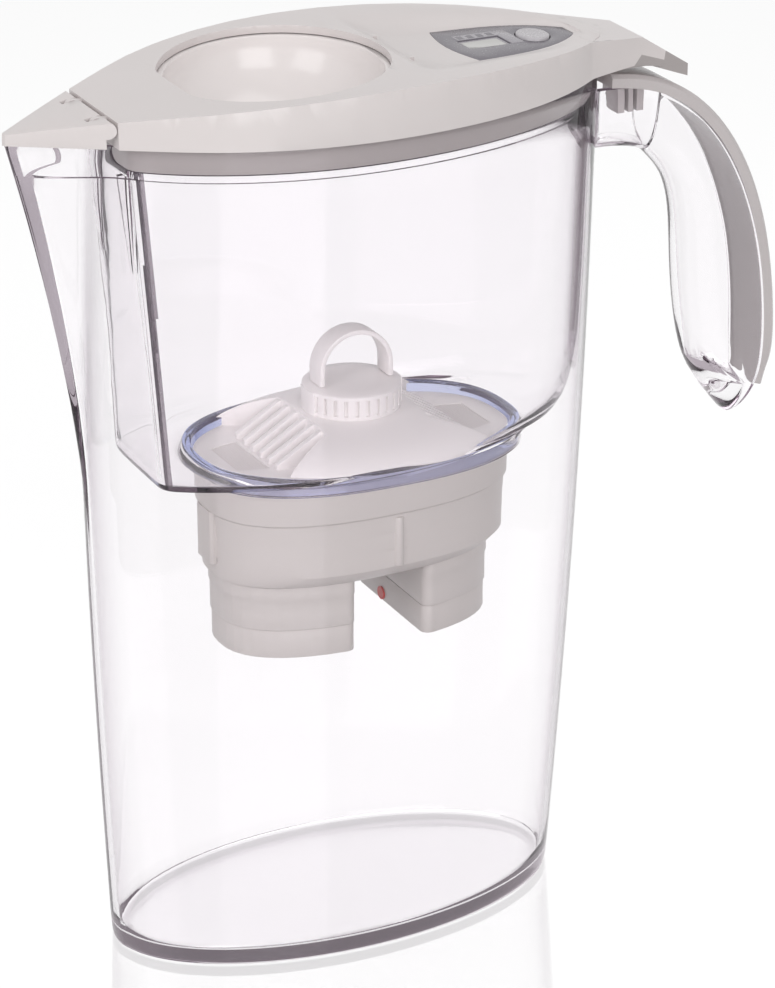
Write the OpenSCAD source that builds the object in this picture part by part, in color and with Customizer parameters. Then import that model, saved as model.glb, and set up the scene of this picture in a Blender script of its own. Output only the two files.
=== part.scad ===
// Water filter pitcher: an oval jug with a prow spout, a lift-out hopper with a filter
// cartridge, and a lid with a hinged spout cover and a tilting filling bowl.
// Millimetres. X runs from the spout (-) to the handle (+) and Z is up.
// The origin is the centre of the jug's foot, on the table.

/* [Jug] */
// Height of the jug's rim above the table
rim_z = 250; // [240:1:270]
// Reach of the foot from the centre, towards the spout and the handle
foot_reach = 71; // [66:0.5:74]
// Half depth of the foot, across the jug
foot_half_depth = 37.5; // [34:0.5:39]
// Reach of the rim from the centre to the front wall
rim_front_reach = 75.8; // [73:0.1:79]
// Reach of the rim from the centre to the rear wall
rim_rear_reach = 84.6; // [82:0.1:88]
// Half depth of the rim, across the jug
rim_half_depth = 41; // [40:0.5:46]
// Bulge of the front wall half way up
front_belly = 1.9; // [0:0.1:3]
// Bulge of the rear wall half way up
rear_belly = 2.6; // [0:0.1:4]
// Fullness of the rim's outline: 2 is an ellipse, less is boat shaped
rim_fullness = 1.6; // [1.5:0.05:1.9]
// Wall of the jug
jug_wall = 2.2; // [1.8:0.1:2.6]
// Thinner wall above the ledge that carries the hopper
rim_wall = 1.3; // [1:0.1:1.6]
// Depth of that ledge below the rim
ledge_drop = 9.3; // [8:0.1:12]
// Thickness of the jug's floor
jug_floor = 3.6; // [2.5:0.1:5]
// Rounding of the foot's edge
foot_round = 1.4; // [0.8:0.1:2.4]

/* [Spout] */
// Reach of the spout's tip from the centre, at the rim
spout_reach = 95.4; // [90:0.1:102]
// Height at which the spout's prow leaves the front wall
spout_root_z = 143; // [125:1:165]
// Half width of the prow at the rim
spout_half_width = 13.5; // [11:0.5:15]
// Share of the prow's reach that curls out near the rim
spout_flare = 0.55; // [0.3:0.05:0.8]

/* [Handle] */
// Reach of the grip's back from the centre
grip_reach = 139.6; // [134:0.2:146]
// Height of the grip's widest point
grip_belly_z = 154; // [146:1:162]
// Drop of the neck's top below the rim
neck_drop = 6.5; // [5:0.1:9]
// Depth of the neck, top to underside
neck_depth = 19.6; // [17:0.2:23]
// Half width of the neck
neck_half_width = 9.4; // [8:0.1:11]
// Depth of the grip at its fullest section
grip_depth = 25.2; // [22:0.2:28]
// Half width of the grip at its fullest section
grip_half_width = 11; // [9:0.1:12]
// Wall of the neck and the grip
grip_wall = 2.4; // [2:0.1:3]
// Thickness of the strip on the back of the grip
strip_thickness = 3.9; // [3:0.1:4.2]

/* [Hopper] */
// Wall of the hopper
hopper_wall = 1.5; // [1.2:0.1:1.8]
// Thickness of the hopper's rim flange
flange_thickness = 2.1; // [1.5:0.1:2.5]
// Height of the hopper's floor above the table
hopper_floor_z = 149.6; // [144:0.2:156]
// Reach of the hopper's flat front wall at its rim
hopper_front_reach = 65.5; // [62:0.5:68]
// Fall of the hopper's floor to its opening
floor_fall = 2.2; // [1:0.1:4]
// Slope of the front wall back to the floor
hopper_front_slope = 5.2; // [3:0.1:8]
// Length of the tapering fins on the hopper's front wall
fin_length = 28; // [20:1:40]

/* [Cartridge] */
// Place of the cartridge's centre along X
cartridge_x = 6.7; // [4:0.1:9]
// Half length of the hopper's opening
opening_half_length = 48.6; // [47:0.1:50]
// Half width of the hopper's opening
opening_half_width = 32.4; // [31:0.1:34]
// Half length of the cartridge's body
cartridge_half_length = 46.7; // [44:0.1:46.8]
// Half width of the cartridge's body
cartridge_half_width = 28.8; // [26:0.1:30]
// Fullness of the oval opening and the cartridge: 2 is an ellipse
oval_fullness = 2.45; // [2:0.05:2.6]
// Height of the cartridge's body below the hopper's floor
cartridge_drop = 36.5; // [32:0.5:40]
// Height of the two legs below the body
leg_height = 22; // [16:0.5:26]
// Width of the gap between the legs
leg_gap = 21.8; // [16:0.2:26]
// Rise of the dome above the hopper's floor
dome_rise = 8.8; // [7:0.2:12]
// Radius of the fluted knob
knob_radius = 14; // [12:0.2:15]
// Height of the knob's fluted skirt
knob_height = 7.9; // [6:0.1:10]
// Number of flutes round the knob
flute_count = 28; // [20:1:40]
// Rise of the carrying loop above the knob
loop_rise = 15.6; // [14:0.2:20]
// Width of the loop's strap
strap_width = 7.4; // [5:0.2:9]
// Number of ribs on each end of the dome
rib_count = 6; // [4:1:7]

/* [Lid] */
// Height of the lid's crown above the rim
lid_rise = 13.6; // [11:0.2:16]
// Radius of the crown, seen from the side
crown_radius = 600; // [450:10:900]
// Place of the crown's highest line along X
crown_x = 16; // [5:1:25]
// Overhang of the lid's lower edge past the jug
lid_overhang = 1.2; // [0.6:0.1:1.6]
// Draft of the lid's side from its lower edge to its crown
lid_draft = 0.8; // [0.5:0.1:2]
// Wall of the lid
lid_wall = 2.2; // [1.8:0.1:2.6]
// Thickness of the lid's inner skirt
skirt_thickness = 1.3; // [1:0.1:1.6]
// Reach of the lid's front edge, at the slit before the spout cover
lid_front_reach = 69.6; // [68.5:0.1:70.5]
// Half width of the rear thumb tab
tab_half_width = 9.8; // [8:0.1:11]
// Reach of the thumb tab
tab_reach = 110; // [106:0.5:113]

/* [Filling bowl] */
// Place of the bowl's centre along X
bowl_x = -16.3; // [-19:0.1:-13]
// Half length of the bowl's mouth
bowl_half_length = 32; // [29:0.2:34]
// Gap between the bowl's mouth and the jug's rim at the side
bowl_side_gap = 7; // [6.6:0.2:11]
// Depth of the bowl below its mouth
bowl_depth = 24; // [18:0.5:26]
// Reach of the straight front edge of the bowl's mouth
bowl_front_reach = 46.2; // [44.5:0.1:47]
// Wall of the bowl
bowl_wall = 1.6; // [1.2:0.1:2]

/* [Display] */
// Front of the display panel along X
panel_front = 39.4; // [38:0.2:41]
// Length of the display panel
panel_length = 36.6; // [34:0.2:38]
// Half width of the display panel at its front
panel_half_width = 15.6; // [14:0.2:16.4]
// Depth of the panel's seat below the crown's top line
panel_drop = 3.9; // [3.6:0.1:4.6]
// Thickness of the panel
panel_thickness = 1.6; // [1.4:0.1:2]
// Length of the display window
window_length = 12.8; // [11:0.2:14]
// Width of the display window
window_width = 8.4; // [7:0.2:10]
// Half length of the reset button
button_half_length = 4.5; // [3.5:0.1:5]
// Half width of the reset button
button_half_width = 5.8; // [4:0.1:6]
// Travel of the reset button
button_travel = 0.6; // [0.3:0.1:0.8]

/* [Fits] */
// Gap between pieces that move past each other
clearance = 0.3; // [0.25:0.01:0.35]
// Radial gap of a hinge pin in its bore
pin_fit = 0.06; // [0.03:0.01:0.1]
// Radius of the hinge pins
pin_radius = 1; // [0.9:0.05:1.1]

/* [Hidden] */

$fn = 64;
eps = 0.01;
side_steps = 18;
prow_steps = 5;
corner_steps = 3;
neck_top_z = rim_z - neck_drop;
bowl_half_width = rim_half_depth - bowl_side_gap;

// --- Shared outlines -------------------------------------------------------------------

function mix(a, b, t) = a + (b - a) * t;
function arch(t) = 4 * t * (1 - t);
function share(z) = z / rim_z;
function mirrored(half) = concat(
    half,
    [for (i = [len(half) - 2 : -1 : 1]) [half[i].x, -half[i].y]]
);
function lifted(outline, z) = [for (p = outline) [p.x, p.y, z]];

// Reaches, half depth and fullness of the jug's section at height z
function front_reach(z) = mix(foot_reach, rim_front_reach, share(z)) + front_belly * arch(share(z));
function rear_reach(z) = mix(foot_reach, rim_rear_reach, share(z)) + rear_belly * arch(share(z));
function half_depth(z) = mix(foot_half_depth, rim_half_depth, share(z));
function fullness(z) = mix(2, rim_fullness, share(z));

// A point of the section at angle u, 0 at the handle and 180 at the spout, inset by t
function section_x(u, z, t) = cos(u) * ((cos(u) > 0 ? rear_reach(z) : front_reach(z)) - t);
function section_y(u, z, t) = (half_depth(z) - t) * pow(sin(u), 2 / fullness(z));
function section_angle(y, z, t) = 180 - asin(pow(y / (half_depth(z) - t), fullness(z) / 2));

// The prow: how far it has grown at height z, its half width and its push
least_prow = 4.5;
prow_round = 0.14;
function prow_growth(z) = max(0, (z - spout_root_z) / (rim_z - spout_root_z));
function prow_half(z) = max(least_prow, spout_half_width * sqrt(prow_growth(z)));
function prow_push(z) = (spout_reach - rim_front_reach) * prow_growth(z)
    * mix(1, prow_growth(z), spout_flare);
function nose(w) = (norm([1, prow_round]) - norm([w, prow_round]))
    / (norm([1, prow_round]) - prow_round);

function jug_half(z, t) =
    let (width = max(1, prow_half(z) - t), push = prow_push(z) * width / prow_half(z))
    let (last = section_angle(width, z, t))
    concat(
        [for (k = [0 : prow_steps])
            let (w = k / prow_steps, u = section_angle(width * w, z, t))
            [section_x(u, z, t) - push * nose(w), width * w]],
        [for (k = [1 : side_steps])
            let (u = last * (1 - k / side_steps))
            [section_x(u, z, t), k == side_steps ? 0 : section_y(u, z, t)]]
    );
function jug_ring(z, t) = lifted(mirrored(jug_half(z, t)), z);

// Hopper and skirt outlines: the jug's section cut off by a flat front with round corners
corner_radius = 3.2;
function flat_half(z, t, front, end_inset = 0) =
    let (reach = front_reach(z) - t)
    let (corner = [-front, section_y(acos(-front / reach), z, t)])
    let (u = acos(-(front - corner_radius) / reach))
    let (a = [-front, corner.y - corner_radius], b = [section_x(u, z, t), section_y(u, z, t)])
    concat(
        [for (k = [0 : 1]) [-front, a.y * k / 2]],
        [for (k = [0 : corner_steps])
            let (s = k / corner_steps)
            a * (1 - s) * (1 - s) + corner * 2 * s * (1 - s) + b * s * s],
        [for (k = [1 : side_steps])
            let (v = u * (1 - k / side_steps))
            [section_x(v, z, t) - end_inset * max(0, cos(v)), k == side_steps ? 0 : section_y(v, z, t)]]
    );
function flat_ring(z, t, front, end_inset = 0) =
    lifted(mirrored(flat_half(z, t, front, end_inset)), z);

// Ovals round the cartridge's centre: the hopper's opening and the cartridge, inset by t
oval_points = 2 * (side_steps + corner_steps + 2);
function power_cos(u) = sign(cos(u)) * pow(abs(cos(u)), 2 / oval_fullness);
function power_sin(u) = sign(sin(u)) * pow(abs(sin(u)), 2 / oval_fullness);
function oval(half_length, half_width) = [
    for (k = [0 : oval_points - 1])
        let (u = 180 - 360 * k / oval_points)
        [cartridge_x + half_length * power_cos(u), half_width * power_sin(u)]
];
function opening(t) = oval(opening_half_length - t, opening_half_width - t);
function cartridge(t) = oval(cartridge_half_length - t, cartridge_half_width - t);

// --- Shared solids ---------------------------------------------------------------------

// Skins a stack of rings; closed joins the last ring to the first, else both ends are capped
// with strips between opposite points
module loft(rings, closed = false) {
    n = len(rings[0]);
    spans = closed ? len(rings) : len(rings) - 1;
    walls = [
        for (i = [0 : spans - 1], k = [0 : n - 1])
            let (a = i * n, b = (i + 1) % len(rings) * n, next = (k + 1) % n)
            each [[a + k, a + next, b + next], [a + k, b + next, b + k]]
    ];
    top = (len(rings) - 1) * n;
    caps = closed ? [] : [
        for (k = [0 : n / 2 - 2])
            let (j = n - 1 - k)
            each [[j, j - 1, k + 1, k], [top + k, top + k + 1, top + j - 1, top + j]]
    ];
    polyhedron(points = [for (r = rings) each r], faces = concat(walls, caps), convexity = 6);
}

module ring_band(outer, inner, z0, z1) {
    translate([0, 0, z0])
        linear_extrude(z1 - z0)
            difference() {
                polygon(outer);
                polygon(inner);
            }
}

// A round bar across the jug, from y0 to y1
module cross_bar(x, z, radius, y0, y1) {
    translate([x, y0, z])
        rotate([-90, 0, 0])
            cylinder(h = y1 - y0, r = radius);
}

// --- Jug and handle --------------------------------------------------------------------

ledge_z = rim_z - ledge_drop;
wall_heights = concat(
    [for (s = [0.08, 0.32, 0.56, 0.8]) spout_root_z * s],
    [for (s = [0, 0.12, 0.3, 0.5, 0.7, 0.87]) mix(spout_root_z, ledge_z, s)]
);
floor_round = 3;

module jug_shell() {
    color([0.86, 0.86, 0.9, 0.35]) {
        loft(concat(
            [jug_ring(0, foot_round), jug_ring(foot_round * 0.3, foot_round * 0.3), jug_ring(foot_round, 0)],
            [for (z = wall_heights) jug_ring(z, 0)],
            [jug_ring(ledge_z, 0), jug_ring(rim_z, 0), jug_ring(rim_z, rim_wall)],
            [jug_ring(ledge_z, rim_wall), jug_ring(ledge_z, jug_wall)],
            [for (i = [len(wall_heights) - 1 : -1 : 0]) jug_ring(wall_heights[i], jug_wall)],
            [jug_ring(jug_floor + floor_round, jug_wall)],
            [jug_ring(jug_floor + floor_round * 0.3, jug_wall + floor_round * 0.3)],
            [jug_ring(jug_floor, jug_wall + floor_round)]
        ));
        neck();
    }
}

// Back line of the handle: a superellipse that turns down and tucks in at its lower end
back_power = 2.25;
back_start_x = rim_rear_reach - 0.6;
tuck_height = 40;
function back_x(u) = back_start_x + (grip_reach - back_start_x) * pow(cos(u), 2 / back_power);
function back_z(u) = u > 0
    ? grip_belly_z + (neck_top_z - grip_belly_z) * pow(sin(u), 2 / back_power)
    : grip_belly_z + tuck_height * sin(u);
function back_point(u) = [back_x(u), back_z(u)];
function back_normal(u) =
    let (d = back_point(u - 1) - back_point(u + 1))
    [-d.y, d.x] / norm(d);

// A channel section open along the back line, its depth turned down by some degrees
section_steps = 10;
section_power = 2.4;
function bent(v) = sign(v) * pow(abs(v), 2 / section_power);
function channel_point(p, turn, depth, half_width, v) = [
    p.x + cos(turn) * depth * bent(sin(v)),
    half_width * bent(cos(v)),
    p.y - sin(turn) * depth * bent(sin(v))
];
function channel(p, turn, depth, half_width, hollow) = concat(
    [for (k = [0 : section_steps]) channel_point(p, turn, depth, half_width, 180 * k / section_steps)],
    [for (k = [section_steps : -1 : 0])
        channel_point(p, turn, hollow, half_width - min(grip_wall, half_width / 3), 180 * k / section_steps)]
);

// The neck starts half way through the jug's rear wall and ends at the grip
neck_end_angle = 74;
neck_root = [
    for (p = jug_half(ledge_z, rim_wall / 2))
        if (p.x > 0 && p.y < neck_half_width * 1.2) p
];
neck_plan = concat(
    [[2 * grip_reach, -2 * neck_half_width], [2 * grip_reach, 2 * neck_half_width]],
    [[neck_root[0].x - 3, 2 * neck_half_width]],
    neck_root,
    [for (i = [len(neck_root) - 2 : -1 : 0]) [neck_root[i].x, -neck_root[i].y]],
    [[neck_root[0].x - 3, -2 * neck_half_width]]
);

module neck() {
    hollow = neck_depth - grip_wall;
    intersection() {
        loft([
            channel([rim_front_reach, neck_top_z], 90, neck_depth, neck_half_width, hollow),
            channel([back_x(86), back_z(86)], 90, neck_depth, neck_half_width, hollow),
            channel([back_x(80), back_z(80)], 91, neck_depth, neck_half_width, hollow),
            grip_section(0)
        ]);
        translate([0, 0, rim_z - 2 * neck_depth])
            linear_extrude(2 * neck_depth)
                polygon(neck_plan);
    }
}

// Stations down the grip: angle on the back line, shares of the fullest depth and width,
// and turn of the section
grip_stations = [
    [neck_end_angle, neck_depth / grip_depth, neck_half_width / grip_half_width, 93],
    [62, 0.825, 0.873, 104],
    [49, 0.806, 0.9, 124],
    [36, 0.861, 0.936, 145],
    [23, 0.968, 0.982, 161],
    [11, 1, 1, 170],
    [0, 0.893, 0.982, 179],
    [-15, 0.575, 0.873, 181],
    [-26, 0.206, 0.582, 180],
    [-30, 0.048, 0.273, 176]
];
channel_stop = 6;
function grip_section(i) =
    let (s = grip_stations[i], depth = s[1] * grip_depth)
    let (hollow = i > channel_stop ? depth / 5 : depth - grip_wall)
    channel(back_point(s[0]), s[3], depth, s[2] * grip_half_width, hollow);

module handle_grip() {
    color([0.86, 0.86, 0.9, 0.35])
        loft([for (i = [0 : len(grip_stations) - 1]) grip_section(i)]);
}

// The strip lies on the grip's back and runs over the neck to the jug's rim
strip_seat = 0.15;
strip_angles = [89, 80, 71, 62, 53, 44, 35, 26, 17, 8, 0, -8, -15];
strip_half = neck_half_width - 0.1;
strip_belly_half = grip_half_width - 0.6;
strip_end_half = 7.6;
strip_edge = 1.1;
function strip_width(u) = u > -8
    ? mix(strip_half, strip_belly_half, max(0, cos(u)) * (u > 8 ? 0.8 : 1))
    : strip_end_half;
function strip_section(u) =
    let (n = back_normal(u), a = back_point(u) + n * strip_seat, w = strip_width(u))
    let (b = a + n * strip_thickness, c = b - n * strip_edge, top = w - strip_edge)
    [
        [a.x, w, a.y], [a.x, -w, a.y], [c.x, -w, c.y],
        [b.x, -top, b.y], [b.x, top, b.y], [c.x, w, c.y]
    ];

clip_gap = 5.4;
clip_x = rim_rear_reach + clip_gap;
clip_length = 8.5;
clip_half_width = 4;
clip_depth = 9;
clip_groove = 1.3;
clip_rib = 1.5;

module handle_strip() {
    color([0.82, 0.8, 0.8]) {
        loft([for (u = strip_angles) strip_section(u)]);
        difference() {
            translate([clip_x, -clip_half_width, neck_top_z - clip_depth])
                cube([clip_length, 2 * clip_half_width, clip_depth + strip_thickness / 2]);
            for (i = [-1, 1])
                translate([
                    clip_x + clip_length / 2 + i * (clip_rib + clip_groove) / 2 - clip_groove / 2,
                    -clip_half_width - eps,
                    neck_top_z - clip_depth - eps
                ])
                    cube([clip_groove, 2 * clip_half_width + 2 * eps, clip_depth - 1]);
        }
    }
}

// --- Hopper ----------------------------------------------------------------------------

tub_inset = jug_wall + clearance;
tub_draft = 0.8;
hopper_rim_z = ledge_z + flange_thickness;
tub_heights = [for (s = [0.9, 0.68, 0.45, 0.27]) mix(hopper_floor_z, ledge_z, s)];
tub_round = 11;
opening_lip = 1.4;
lip_drop = 4.2;
function tub_front(z) = hopper_front_reach - hopper_front_slope * (ledge_z - z) / (ledge_z - hopper_floor_z);

// The tub draws in towards its floor, most of all at the rear end
function tub_ring(z, t, tuck = 0) =
    let (draft = tub_draft * max(0, ledge_z - z) / (ledge_z - hopper_floor_z))
    flat_ring(z, tub_inset + draft + t, tub_front(z) - t, tuck);

module hopper_tub() {
    color([0.9, 0.9, 0.93, 0.3]) {
        loft(concat(
            [tub_ring(hopper_floor_z + floor_fall - hopper_wall, 0.6, tub_round)],
            [tub_ring(hopper_floor_z + floor_fall + 0.3, 0, tub_round * 0.55)],
            [tub_ring(hopper_floor_z + 6, 0, tub_round * 0.25)],
            [tub_ring(hopper_floor_z + 14, 0, tub_round * 0.1)],
            [for (i = [len(tub_heights) - 1 : -1 : 0]) tub_ring(tub_heights[i], 0)],
            [tub_ring(ledge_z, 0)],
            [flat_ring(ledge_z, rim_wall + clearance, hopper_front_reach + 0.8)],
            [flat_ring(hopper_rim_z, rim_wall + clearance, hopper_front_reach + 0.8)],
            [tub_ring(hopper_rim_z, hopper_wall)],
            [for (z = tub_heights) tub_ring(z, hopper_wall)],
            [tub_ring(hopper_floor_z + 14, hopper_wall, tub_round * 0.1)],
            [tub_ring(hopper_floor_z + 6.5, hopper_wall, tub_round * 0.25)],
            [tub_ring(hopper_floor_z + floor_fall + 1.6, hopper_wall + 0.2, tub_round * 0.55)],
            [tub_ring(hopper_floor_z + floor_fall, hopper_wall + 0.2, tub_round)],
            [lifted(opening(-opening_lip), hopper_floor_z)],
            [lifted(opening(0), hopper_floor_z)],
            [lifted(opening(0), hopper_floor_z - lip_drop)],
            [lifted(opening(-hopper_wall), hopper_floor_z - lip_drop)],
            [lifted(opening(-hopper_wall), hopper_floor_z - hopper_wall)]
        ), closed = true);
        for (side = [-1, 1])
            scale([1, side, 1]) corner_fin();
    }
}

// A long triangular fin that stands off the hopper's front wall and guides it in the jug
fin_reach = 2.1;
fin_thickness = 1.4;
fin_y = 10.2;

module corner_fin() {
    top = ledge_z - eps;
    low = ledge_z - fin_length;
    hull() {
        translate([-tub_front(top) - fin_reach, fin_y, top - 1])
            cube([fin_reach + 0.5, fin_thickness, 1]);
        translate([-tub_front(low) - 0.1, fin_y, low])
            cube([0.6, fin_thickness, 1]);
    }
}

seal_wall = 1.5;
seal_lip = 0.9;
seal_cover = 0.9;

module opening_seal() {
    color([0.55, 0.62, 0.85]) {
        ring_band(opening(0.1), opening(seal_wall), hopper_floor_z - lip_drop, hopper_floor_z + seal_lip / 2);
        ring_band(opening(-seal_cover), opening(seal_wall), hopper_floor_z, hopper_floor_z + seal_lip);
    }
}

// --- Cartridge -------------------------------------------------------------------------

// Insets of the cartridge's lower body and legs from its top
lower_inset = 1.2;
leg_inset = 6;
body_low_z = hopper_floor_z - cartridge_drop;
leg_low_z = body_low_z - leg_height;
leg_base_height = 8.8;
leg_gap_shift = 1.6;
leg_collar_height = 4;
leg_collar = 0.35;
step_height = 15;
plate_z = hopper_floor_z - 1.6;

// Two fine steps band the lower wall
band_step = 0.25;
band_count = 2;
band_rings = [
    for (i = [1 : band_count], j = [0, 1])
        let (z = mix(body_low_z + 4.5, hopper_floor_z - step_height - 0.8, i / (band_count + 1)))
        lifted(cartridge(lower_inset + band_step * (1 - (i + j - 1) / band_count)), z + j * band_step)
];

module cartridge_body() {
    color([0.93, 0.92, 0.91]) {
        difference() {
            loft([
                lifted(leg_outline(leg_inset), body_low_z),
                lifted(leg_outline(leg_inset - 2), body_low_z + 1.2),
                lifted(cartridge(lower_inset + band_step), body_low_z + 4.5),
                for (ring = band_rings) ring,
                lifted(cartridge(lower_inset - band_step), hopper_floor_z - step_height - 0.8),
                lifted(cartridge(0.2), hopper_floor_z - step_height),
                lifted(cartridge(0), plate_z)
            ]);
            for (side = [-1, 1])
                translate([0, 0, plate_z - mesh_depth])
                    linear_extrude(mesh_depth + 1)
                        polygon(mesh_outline(side, 0));
        }
        for (side = [-1, 1]) {
            legs(side, leg_low_z + leg_base_height, body_low_z + 1, leg_inset);
            legs(side, body_low_z - leg_collar_height, body_low_z + 1, leg_inset - leg_collar);
            side_rib(side);
        }
        end_key();
    }
}

// A vertical rib on each side of the lower wall
rib_radius = 1.6;
rib_rise = 5;
module side_rib(side) {
    y = cartridge_half_width - lower_inset - rib_radius / 2;
    translate([cartridge_x + rib_radius, side * y, body_low_z + rib_rise])
        cylinder(h = cartridge_drop - step_height - rib_rise - rib_radius, r = rib_radius, $fn = 24);
}

// The key on the spout's end stands out from the lower wall, under the top band
key_half_width = 5;
key_depth = 12;
key_rise = 5.4;
key_corner = 0.8;
module end_key() {
    face = cartridge_x - cartridge_half_length;
    translate([0, 0, body_low_z + key_rise])
        linear_extrude(cartridge_drop - step_height - key_rise)
            polygon([
                [face + key_depth, -key_half_width], [face + key_depth, key_half_width],
                [face + key_corner, key_half_width], [face, key_half_width - key_corner],
                [face, key_corner - key_half_width], [face + key_corner, -key_half_width]
            ]);
}

// Half-oval legs, one each side of the gap, their outline shifted towards the spout
leg_shift = 1.2;
leg_corner = 2.6;
function leg_outline(inset) = [
    for (p = oval(cartridge_half_length - inset + leg_shift, cartridge_half_width - inset))
        [p.x - leg_shift, p.y]
];
module legs(side, z0, z1, inset) {
    near = cartridge_x + leg_gap_shift + (side > 0 ? leg_gap / 2 : -leg_gap / 2 - cartridge_half_length);
    translate([0, 0, z0])
        linear_extrude(z1 - z0)
            offset(r = leg_corner, $fn = 32)
                offset(delta = -leg_corner)
                    intersection() {
                        polygon(leg_outline(inset));
                        translate([near, -cartridge_half_width])
                            square([cartridge_half_length, 2 * cartridge_half_width]);
                    }
}

// The moulded cups that close the legs, below a fine seam
seam = 0.25;
module leg_base(side) {
    color([0.93, 0.92, 0.91])
        legs(side, leg_low_z, leg_low_z + leg_base_height - seam, leg_inset + 0.4);
}
module leg_base_front() { leg_base(-1); }
module leg_base_rear() { leg_base(1); }

// A small coloured dot on the inner face of the rear leg
marker_radius = 2;
marker_depth = 0.5;
marker_y = 5.5;
marker_x = cartridge_x + leg_gap_shift + leg_gap / 2;
module flow_marker() {
    color([0.85, 0.16, 0.12])
        translate([marker_x - marker_depth, marker_y, leg_low_z + marker_radius + 0.2])
            rotate([0, 90, 0])
                cylinder(h = marker_depth, r = marker_radius, $fn = 32);
}

// The dome: a flattened cap that rests on the seal, cut back at both ends to ribbed inlets
dome_top_z = hopper_floor_z + dome_rise;
dome_rest_z = hopper_floor_z + seal_lip;
dome_overlap = 1.6;
dome_sink = 3.6;
dome_crest = 1.2;
dome_spread = 5.4;
inlet_half_width = 15.9;
inlet_start = 16;
inlet_splay = 0.6;

module dome_cap() {
    intersection() {
        translate([cartridge_x, 0, hopper_floor_z - dome_sink])
            scale([
                cartridge_half_length + dome_spread,
                cartridge_half_width + dome_spread,
                dome_rise + dome_sink + dome_crest
            ])
                sphere(r = 1, $fn = 72);
        translate([0, 0, dome_rest_z])
            linear_extrude(dome_top_z - dome_rest_z)
                polygon(oval(cartridge_half_length + dome_overlap, opening_half_width - 0.8));
    }
}

// Each inlet is a fan that opens towards the end of the dome
module inlet_cut(side) {
    near = cartridge_x + side * inlet_start;
    far = near + side * cartridge_half_length;
    wide = inlet_half_width + inlet_splay * cartridge_half_length;
    translate([0, 0, plate_z])
        linear_extrude(2 * dome_rise)
            polygon([[near, -inlet_half_width], [far, -wide], [far, wide], [near, inlet_half_width]]);
}

// Ribs run down each inlet's slope to a pointed end
rib_run = 15;
rib_foot = 1.6;
rib_thickness = 1.7;
module inlet_ribs(side) {
    pitch = 2 * inlet_half_width / rib_count;
    top = dome_top_z - plate_z - 0.8;
    for (i = [0 : rib_count - 1])
        translate([
            cartridge_x + side * (inlet_start - 1),
            (i + 0.5) * pitch - inlet_half_width + rib_thickness / 2,
            plate_z
        ])
            scale([side, 1, 1])
                rotate([90, 0, 0])
                    linear_extrude(rib_thickness)
                        polygon([[0, 0], [rib_run, 0], [rib_run, rib_foot], [rib_thickness, top], [0, top]]);
}

module cartridge_dome() {
    color([0.93, 0.92, 0.91]) {
        difference() {
            union() {
                dome_cap();
                translate([0, 0, plate_z])
                    linear_extrude(dome_rest_z - plate_z + 0.2)
                        polygon(cartridge(0.3));
            }
            inlet_cut(-1);
            inlet_cut(1);
        }
        inlet_ribs(-1);
        inlet_ribs(1);
    }
}

// The mesh lies in a shallow seat in the plate, in front of the ribs
mesh_depth = 0.8;
mesh_length = 9;
mesh_start = inlet_start + rib_run;
mesh_half_width = 11.5;
function mesh_outline(side, gap) =
    let (a = cartridge_x + side * (mesh_start + gap))
    let (b = cartridge_x + side * (mesh_start + mesh_length - gap))
    let (w = mesh_half_width - gap)
    [[a, -w], [b, -w * 0.8], [b, w * 0.8], [a, w]];

module inlet_mesh(side) {
    color([0.8, 0.79, 0.78])
        translate([0, 0, plate_z - mesh_depth])
            linear_extrude(mesh_depth - 0.2)
                polygon(mesh_outline(side, 0.1));
}
module inlet_mesh_front() { inlet_mesh(-1); }
module inlet_mesh_rear() { inlet_mesh(1); }

// The knob: a fluted cap with a plain panel where the loop's front leg is moulded on
flute_radius = 0.6;
knob_top_z = dome_top_z + knob_height;

module knob_cap() {
    color([0.93, 0.92, 0.91])
        difference() {
            translate([cartridge_x, 0, dome_top_z])
                rotate_extrude($fn = 96)
                    polygon([
                        [0, 0], [knob_radius, 0], [knob_radius, 1], [knob_radius - 0.4, knob_height - 1],
                        [knob_radius - 1.2, knob_height], [0, knob_height]
                    ]);
            for (i = [0 : flute_count - 1])
                if (abs(i - flute_count / 2) > flute_count / 12)
                    rotate_about(360 * i / flute_count)
                        translate([knob_radius, 0, dome_top_z + 1.4])
                            cylinder(h = knob_height - 2.6, r = flute_radius, $fn = 16);
        }
}

module rotate_about(angle) {
    translate([cartridge_x, 0, 0])
        rotate([0, 0, angle])
            children();
}

// The loop: a flat strap bent to an arch over the knob
strap_thickness = 1.5;
loop_inset = 2.6;
loop_radius = knob_radius - loop_inset;
module carrying_loop() {
    spring_z = knob_top_z + loop_rise - loop_radius;
    color([0.93, 0.92, 0.91])
        translate([cartridge_x, strap_width / 2, 0])
            rotate([90, 0, 0])
                linear_extrude(strap_width)
                    difference() {
                        union() {
                            translate([0, spring_z])
                                circle(r = loop_radius, $fn = 96);
                            translate([-loop_radius, knob_top_z])
                                square([2 * loop_radius, spring_z - knob_top_z]);
                        }
                        translate([0, spring_z])
                            circle(r = loop_radius - strap_thickness, $fn = 96);
                        translate([strap_thickness - loop_radius, knob_top_z - 1])
                            square([2 * (loop_radius - strap_thickness), spring_z - knob_top_z + 1]);
                        translate([-2 * loop_radius, knob_top_z - 4 * loop_radius])
                            square(4 * loop_radius);
                    }
}

// --- Lid -------------------------------------------------------------------------------

crown_z = rim_z + lid_rise;
function crown_height(x) = crown_z - crown_radius + sqrt(pow(crown_radius, 2) - pow(x - crown_x, 2));

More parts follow.
